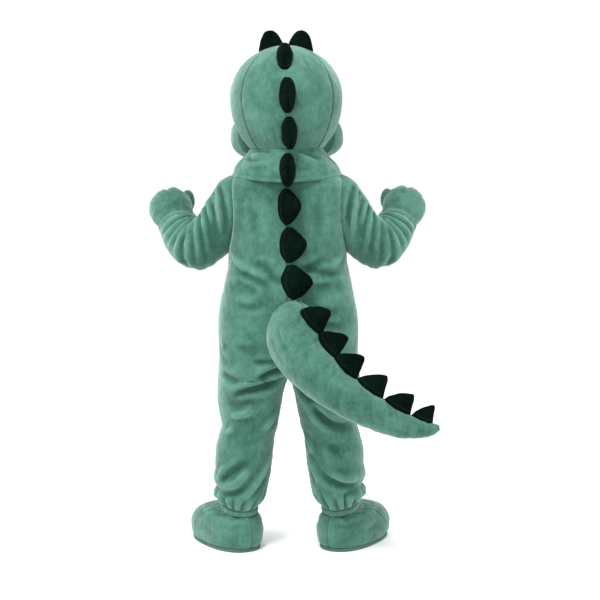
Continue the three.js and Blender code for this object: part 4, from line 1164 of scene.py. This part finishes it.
def insideTail(points):
    flat = points.reshape(-1, 3)
    nearest = np.argmin(np.linalg.norm(flat[:, None] - tailCentres[None], axis=-1), axis=1)
    offset = flat - tailCentres[nearest]
    up = np.sum(offset * tailUps[nearest], -1) / tailTable["high"][nearest]
    out = np.sum(offset * tailSideways[nearest], -1) / tailTable["wide"][nearest]
    return (np.hypot(up, out) < 1).reshape(points.shape[:-1])


carriers = {"head": insideHead, "cowl": insideCowl, "back": insideBody, "tail": insideTail}
for number, line in enumerate(plateText.strip().splitlines(), 1):
    on, *values = line.split()
    where, x, lean, length, height, thick = map(float, values)
    if on == "head":
        angle = math.radians(where)
        foot = headPoint(0, angle) * [0, 1, 1] + [x, 0, 0]
        along = unit(headPoint(0, angle + 0.02) - headPoint(0, angle - 0.02))
        up = np.array([0, -along[2], along[1]])
    elif on == "tail":
        foot = tailSurface(np.array(0.0), np.array(where))
        before, after = (tailSurface(np.array(0.0), np.array(where + way)) for way in (-0.1, 0.1))
        along = unit(after - before)
        up = foot - tailFrame(np.array(where))[1]
        up = unit(up - along * (up @ along))
    elif on == "cowl":
        foot = np.array([x, plateShape["cowlDepth"], where])
        along = unit(np.array([0, plateShape["cowlSlope"], -1.0]))
        up = np.array([0, -along[2], along[1]])
    else:
        foot = onBody("back", np.array(x), np.array(where))
        along = np.array([0, 0, -1.0])
        up = np.array([0, 1.0, 0])
    up = turned(up, along, 0 if on == "tail" else -math.radians(lean))
    sideways = unit(np.cross(up, along))

    def surface(u, v):
        rest = 1 - np.maximum(v, 0)
        thin = thick / 2 * rest ** plateShape["thinning"]
        narrow = length / 2 * rest ** plateShape["narrowing"]
        across, lengthwise = flatSection(2 * math.pi * u, thin, narrow, plateShape["square"])
        lengthwise = lengthwise + plateShape["sweep"][on] * np.maximum(v, 0) ** 2
        return (foot + up * (height * v)[..., None] + along * lengthwise[..., None]
                + sideways * across[..., None])
    us = shares(plateShape["columns"])
    share = closerToTip(plateShape["rows"])
    u, v, points = seated(surface, us, carriers[on], -0.42, 0.7, lastBeforeTip, share)
    normals = normalsOf(surface, u, v, foot + up * (height * np.minimum(v, 0.5))[..., None])
    offMiddle = np.abs((points - foot) @ sideways)
    relief = uneven(points, plateShape["seed"] + number, plateShape["uneven"])
    relief += profile(offMiddle, plateShape["seam"]) + profile(arcAlong(points, 0), plateShape["foot"])
    tip = foot + up * height + along * plateShape["sweep"][on]
    rings = stuffedPlush(f"plate_{number}", points, normals, relief, "dark_fleece", tip)
    stitchAround("dark", rings[2] + normals[2] * 0.3)
print("plates")

# Mitts
mitt = {"turn": 60.0, "away": 45.0, "at": (408.0, -92.0, 1205.0), "wall": 4.0, "columns": 90,
        "girth": 440.0, "uneven": ((0.9, 50), (0.4, 20))}
mittSections = columnsOf("along wide deep", """
-34 60 60
6 63 62
34 72 66
66 80 70
98 81 70
128 72 62
150 54 46
164 28 24
168 4 4
""")
# angle, width and depth of the grooves between the bent fingers
fingerGrooves = ((-62, 11, -8), (-18, 11, -8), (26, 12, -7))
thumb = {"along": 108.0, "wide": 66.0, "deep": 34.0, "radius": 26.0, "length": 42.0}


def handPlace(side, along, across, depth):
    travel, wide, deep = armAxes(mitt)
    point = np.array(mitt["at"]) + np.multiply.outer(along, travel)
    point = point + np.multiply.outer(across, wide) + np.multiply.outer(depth, deep)
    return point * [side, 1, 1]


for sideName, side in sides.items():
    def surface(u, v):
        s = sample(mittSections, "along", v)
        around = 2 * math.pi * u
        v = v + 0 * around
        return handPlace(side, v, s["wide"] * np.cos(around), s["deep"] * np.sin(around))
    us = shares(mitt["columns"])
    vs = np.concatenate([spread(-34, 150, 190, 5.0)[:-1], [154, 158, 162, 165, 167]])
    u, v = np.meshgrid(us, vs)
    points = surface(u, v)
    normals = normalsOf(surface, u, v, handPlace(side, np.minimum(v, 110), 0 * v, 0 * v))
    fade = smooth(v, 55, 110) * (1 - 0.6 * smooth(v, 155, 168))
    relief = uneven(points, 101, mitt["uneven"])
    for angle, width, depth in fingerGrooves:
        turn = np.abs((360 * u - angle + 540) % 360 - 180)
        relief += fade * depth * bump(turn, width)
    seamAt = np.minimum(np.abs(u - 0.25), np.abs(u - 0.75)) * mitt["girth"]
    relief += 0.8 * seamTuck(seamAt, v, 9)
    node = f"mitt_{sideName}"
    piece = shell(node + "_plush", points, normals, relief, mitt["wall"], "fleece", [node],
                  ring=True, closeEnd=True)

    def insideMitt(points):
        travel, wide, deep = armAxes(mitt)
        offset = points * [side, 1, 1] - np.array(mitt["at"])
        s = sample(mittSections, "along", offset @ travel)
        return np.hypot(offset @ wide / s["wide"], offset @ deep / s["deep"]) < 1
    centre = handPlace(side, thumb["along"], thumb["wide"], thumb["deep"])
    outward = centre - handPlace(side, thumb["along"], 0.0, 0.0)
    radii = np.array([thumb["radius"], thumb["radius"], thumb["length"]])
    node = f"thumb_{sideName}"
    piece = dome(node + "_plush", centre, radii, outward, insideMitt, "fleece", node)
print("mitts")

# Boots
boot = {"wall": 5.0, "grid": 6.0, "sideShift": 4.0, "bandHeight": 22.0, "bandWall": 4.0,
        "gathers": 7, "bandPuckers": 17, "uneven": ((1.0, 70), (0.4, 24)), "hem": ((-0.7, 0, 7),)}
# height above the floor and share of the outline, for the sole's rounded edge
soleRings = ((0.0, 0.985), (0.4, 0.994), (2.0, 1.0), (6.0, 1.002), (9.6, 1.0), (11.4, 0.994),
             (12.0, 0.985))
bootSections = columnsOf("at heel toe half heelZ toeZ", """
0 -84 262 96 12.3 12.3
1 -93 271 103 30 30
2 -95 272 105 60 62
3 -93 258 101 88 92
4 -87 226 93 106 118
5 -80 176 83 118 138
6 -73 114 75 124 151
7 -68 68 68 126 160
""")
# width, depth, then the angle round from the heel and the place up the boot of each point
bootFoldText = """
8 -5  18 6.6  30 5.6  34 4.4
7 -4  36 6.7  50 6.0  58 5.2
9 -4  62 6.5  78 5.6  92 5.0
10 -4  96 6.6  120 6.0  150 6.2
9 -3  8 3.6  24 3.2  44 3.4
10 -3  50 2.2  80 2.4  110 2.0
9 4  100 4.6  128 4.9  158 4.8
3.4 -2.6  92 6.8  108 5.7  118 4.2  122 2.4  121 0.4
3.2 -2.8  60 6.8  66 6.0  70 5.1
"""


def bootPoint(side, angle, at):
    s = sample(bootSections, "at", at)
    middle, reach = (s["heel"] + s["toe"]) / 2, (s["toe"] - s["heel"]) / 2
    radius = sectionRadius(angle, s["half"], reach, 2.3)
    along = middle - radius * np.cos(angle)
    across = radius * np.sin(angle) + boot["sideShift"] * (1 - at / 7)
    turn = math.radians(suit["turnedOut"])
    x = suit["ankle"][0] + along * math.sin(turn) + across * math.cos(turn)
    y = suit["ankle"][1] - along * math.cos(turn) + across * math.sin(turn)
    share = (along - s["heel"]) / (s["toe"] - s["heel"])
    return place(side * x, y, s["heelZ"] + (s["toeZ"] - s["heelZ"]) * share)


for sideName, side in sides.items():
    for part, way in (("outer", 1), ("inner", -1)):
        node = f"boot_{part}_{sideName}"
        inset = seamGap / 2 / 90

        def surface(u, v):
            return bootPoint(side, way * (inset + (math.pi - 2 * inset) * u), v)
        u, v = np.meshgrid(spread(0, 1, 420, boot["grid"]), spread(0, 7, 230, 5.0))
        points = surface(u, v)
        middle = (bootPoint(side, 0 * v, v) + bootPoint(side, math.pi + 0 * v, v)) / 2
        middle = middle * [1, 1, 0] + [0, 0, 40]
        normals = normalsOf(surface, u, v, middle)
        across, down = arcAlong(points, 1), arcAlong(points, 0)
        folds = [(bootPoint(side, way * np.radians(around), at), width, depth)
                 for width, depth, around, at in readPaths(bootFoldText)]
        relief = foldRelief(points, folds) + uneven(points, 111, boot["uneven"])
        relief += 0.5 * sideSeams(across, down, 10, 12) + profile(down, boot["hem"])
        gathers = np.sin(2 * math.pi * boot["gathers"] * u + 1.2 * np.sin(9 * u))
        relief += 1.3 * gathers * bump(down[-1:] - down, 26)
        piece = shell(node + "_plush", points, normals, relief, boot["wall"], "fleece", [node])
        stitchRuns["green"].append(outerGrids[node + "_plush"][3:-3, 2])
        stitchRuns["green"].append(outerGrids[node + "_plush"][2])
    # sole: a flat plate with a rounded edge
    around = 2 * math.pi * shares(160)
    outline = bootPoint(side, around, 0 * around)
    centre = outline.mean(0)
    rings = [(centre + (outline - centre) * grow) * [1, 1, 0] + [0, 0, lift] for lift, grow in soleRings]
    stuffed(f"sole_{sideName}_rubber", np.array(rings), "sole", [f"boot_sole_{sideName}"])

    # band that closes the leg over the boot
    def surface(u, v):
        angle = 2 * math.pi * u
        turn = math.radians(suit["turnedOut"])
        x, y = suit["ankleRadius"] * np.sin(angle), suit["ankleRadius"] * np.cos(angle)
        rise = suit["ankleRise"] * (x * math.sin(turn) - y * math.cos(turn))
        return place(side * (suit["ankle"][0] + x), suit["ankle"][1] + y, suit["ankle"][2] + v + rise)
    vs = spread(0.3, boot["bandHeight"], boot["bandHeight"], 3.2)
    u, v = np.meshgrid(shares(100), vs)
    points = surface(u, v)
    inside = place(side * suit["ankle"][0], suit["ankle"][1], v + suit["ankle"][2])
    normals = normalsOf(surface, u, v, inside)
    relief = 1.0 + 2.6 * np.sin(math.pi * v / boot["bandHeight"]) ** 0.7
    relief += 0.7 * np.sin(2 * math.pi * boot["bandPuckers"] * u + 2 * np.sin(7 * u))
    node = f"ankle_band_{sideName}"
    piece = shell(node + "_cloth", points, normals, relief, boot["bandWall"], "fleece", [node],
                  ring=True)
    declareCloth(piece, points, ring=True)
    stitchAround("green", outerGrids[node + "_cloth"][3])
print("boots")

# Flap over the front closing
placket = {"width": 46.0, "top": 1330.0, "bottom": 790.0, "thickness": 3.0, "clear": 1.2}


def placketSurface(u, v):
    return onBody("front", placket["width"] * (u - 0.5), v)


length = placket["top"] - placket["bottom"]
vs = spread(placket["top"], placket["bottom"], length, suit["grid"])
u, v = np.meshgrid(spread(0, 1, placket["width"], 4.0), vs)
points = placketSurface(u, v)
normals = normalsOf(placketSurface, u, v, place(0, 0, v))
relief = bodyRelief(points, bodySeeds["front"]) + placket["thickness"] + placket["clear"]
piece = shell("front_placket_cloth", points, normals, relief, placket["thickness"], "fleece",
              ["front_placket"])
declareCloth(piece, points)
for column in (2, -3):
    stitchRuns["green"].append(outerGrids["front_placket_cloth"][2:-2, column])
stitchAround("green", outerGrids["cowl_cloth"][-3])
for sideName in sides:
    stitchAround("green", outerGrids[f"sleeve_{sideName}_cloth"][-4])
print("placket")

# Stitches: one tree that lays short threads along a run
stitch = {"spacing": 0.0085, "length": 0.0052, "thread": 0.0011}


def stitchTree():
    tree = bpy.data.node_groups.new("Stitch run", "GeometryNodeTree")
    face = tree.interface
    face.new_socket("Geometry", in_out="INPUT", socket_type="NodeSocketGeometry")
    inputs = {}
    for name in ("Spacing", "Length", "Thread"):
        inputs[name] = face.new_socket(name, in_out="INPUT", socket_type="NodeSocketFloat").identifier
    paintSocket = face.new_socket("Material", in_out="INPUT", socket_type="NodeSocketMaterial")
    inputs["Material"] = paintSocket.identifier
    face.new_socket("Geometry", in_out="OUTPUT", socket_type="NodeSocketGeometry")
    make, link = tree.nodes.new, tree.links.new
    start, end = make("NodeGroupInput"), make("NodeGroupOutput")
    even = make("GeometryNodeResampleCurve")
    even.mode = "LENGTH"
    link(start.outputs["Geometry"], even.inputs["Curve"])
    link(start.outputs["Spacing"], even.inputs["Length"])
    thread = make("GeometryNodeMeshUVSphere")
    thread.inputs["Segments"].default_value = 6
    thread.inputs["Rings"].default_value = 4
    thread.inputs["Radius"].default_value = 0.5
    size = make("ShaderNodeCombineXYZ")
    link(start.outputs["Thread"], size.inputs["X"])
    link(start.outputs["Thread"], size.inputs["Y"])
    link(start.outputs["Length"], size.inputs["Z"])
    tangent = make("GeometryNodeInputTangent")
    aim = make("FunctionNodeAlignEulerToVector")
    aim.axis = "Z"
    link(tangent.outputs[0], aim.inputs["Vector"])
    lay = make("GeometryNodeInstanceOnPoints")
    link(even.outputs["Curve"], lay.inputs["Points"])
    link(thread.outputs["Mesh"], lay.inputs["Instance"])
    link(aim.outputs[0], lay.inputs["Rotation"])
    link(size.outputs[0], lay.inputs["Scale"])
    real = make("GeometryNodeRealizeInstances")
    paint = make("GeometryNodeSetMaterial")
    link(lay.outputs[0], real.inputs[0])
    link(real.outputs[0], paint.inputs["Geometry"])
    link(start.outputs["Material"], paint.inputs["Material"])
    link(paint.outputs[0], end.inputs[0])
    return tree, inputs


tree, inputs = stitchTree()
for name, material, slot in (("green", greenThread, "fleece"), ("dark", darkThread, "dark_fleece")):
    curve = bpy.data.curves.new(f"stitch path {name}", "CURVE")
    curve.dimensions = "3D"
    for run in stitchRuns[name]:
        spline = curve.splines.new("POLY")
        spline.points.add(len(run) - 1)
        spots = (run - [0, 0, shoulderHeight]) / 1000
        spline.points.foreach_set("co", np.column_stack([spots, np.ones(len(run))]).ravel())
    path = bpy.data.objects.new(f"stitch path {name}", curve)
    bpy.context.scene.collection.objects.link(path)
    modifier = path.modifiers.new("Stitches", "NODES")
    modifier.node_group = tree
    modifier[inputs["Spacing"]] = stitch["spacing"]
    modifier[inputs["Length"]] = stitch["length"]
    modifier[inputs["Thread"]] = stitch["thread"]
    modifier[inputs["Material"]] = material
    depsgraph = bpy.context.evaluated_depsgraph_get()
    mesh = bpy.data.meshes.new_from_object(path.evaluated_get(depsgraph), depsgraph=depsgraph)
    bpy.data.objects.remove(path)
    if not len(mesh.materials):
        mesh.materials.append(material)
    mesh.polygons.foreach_set("use_smooth", np.ones(len(mesh.polygons), dtype=bool))
    piece = bpy.data.objects.new(f"stitches_{name}", mesh)
    bpy.context.scene.collection.objects.link(piece)
    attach(piece, "root")
    print(f"stitches {name}: {len(mesh.polygons)} faces")

# Floor, light and camera
studio = {"floor": 0.95, "world": 1.06, "keyPower": 170.0, "fillPower": 45.0}
bpy.ops.mesh.primitive_plane_add(size=60, location=(0, 0, -shoulderHeight / 1000 - 0.001))
floor = bpy.context.object
floor.name = "floor"
floorPaint, _, shader = newMaterial("pale floor", 0.9)
shader.inputs["Base Color"].default_value = (studio["floor"],) * 3 + (1,)
floor.data.materials.append(floorPaint)

world = bpy.data.worlds.new("studio")
world.use_nodes = True
world.node_tree.nodes["Background"].inputs["Color"].default_value = (1, 1, 1, 1)
world.node_tree.nodes["Background"].inputs["Strength"].default_value = studio["world"]
bpy.context.scene.world = world


def areaLight(name, spot, aim, size, power):
    light = bpy.data.lights.new(name, "AREA")
    light.shape = "DISK"
    light.size = size
    light.energy = power
    lamp = bpy.data.objects.new(name, light)
    lamp.location = spot
    lamp.rotation_euler = (Vector(aim) - Vector(spot)).to_track_quat("-Z", "Y").to_euler()
    bpy.context.scene.collection.objects.link(lamp)


areaLight("key", (0.9, 2.4, 3.4), (0, 0, -0.3), 1.3, studio["keyPower"])
areaLight("side left", (3.2, 0.6, 0.9), (0, 0, -0.4), 1.4, studio["fillPower"])
areaLight("side right", (-3.2, 0.6, 0.9), (0, 0, -0.4), 1.4, studio["fillPower"])
areaLight("front", (1.5, -4.2, 1.6), (0, 0, -0.3), 2.4, studio["fillPower"])

view = {"spot": (-0.044, 5.0, 0.12), "aim": (-0.044, 0.0, -0.455), "focal": 1370.0, "roll": -0.45}
camera = bpy.data.cameras.new("camera")
camera.sensor_width = 36.0
camera.lens = view["focal"] * 36.0 / 600
cameraObject = bpy.data.objects.new("camera", camera)
bpy.context.scene.collection.objects.link(cameraObject)
cameraObject.location = view["spot"]
look = (Vector(view["aim"]) - Vector(view["spot"])).to_track_quat("-Z", "Y")
cameraObject.rotation_euler = look.to_euler()
cameraObject.rotation_euler.rotate_axis("Z", math.radians(view["roll"]))
bpy.context.scene.camera = cameraObject
bpy.context.scene.view_settings.view_transform = "Standard"

print("scene ready")
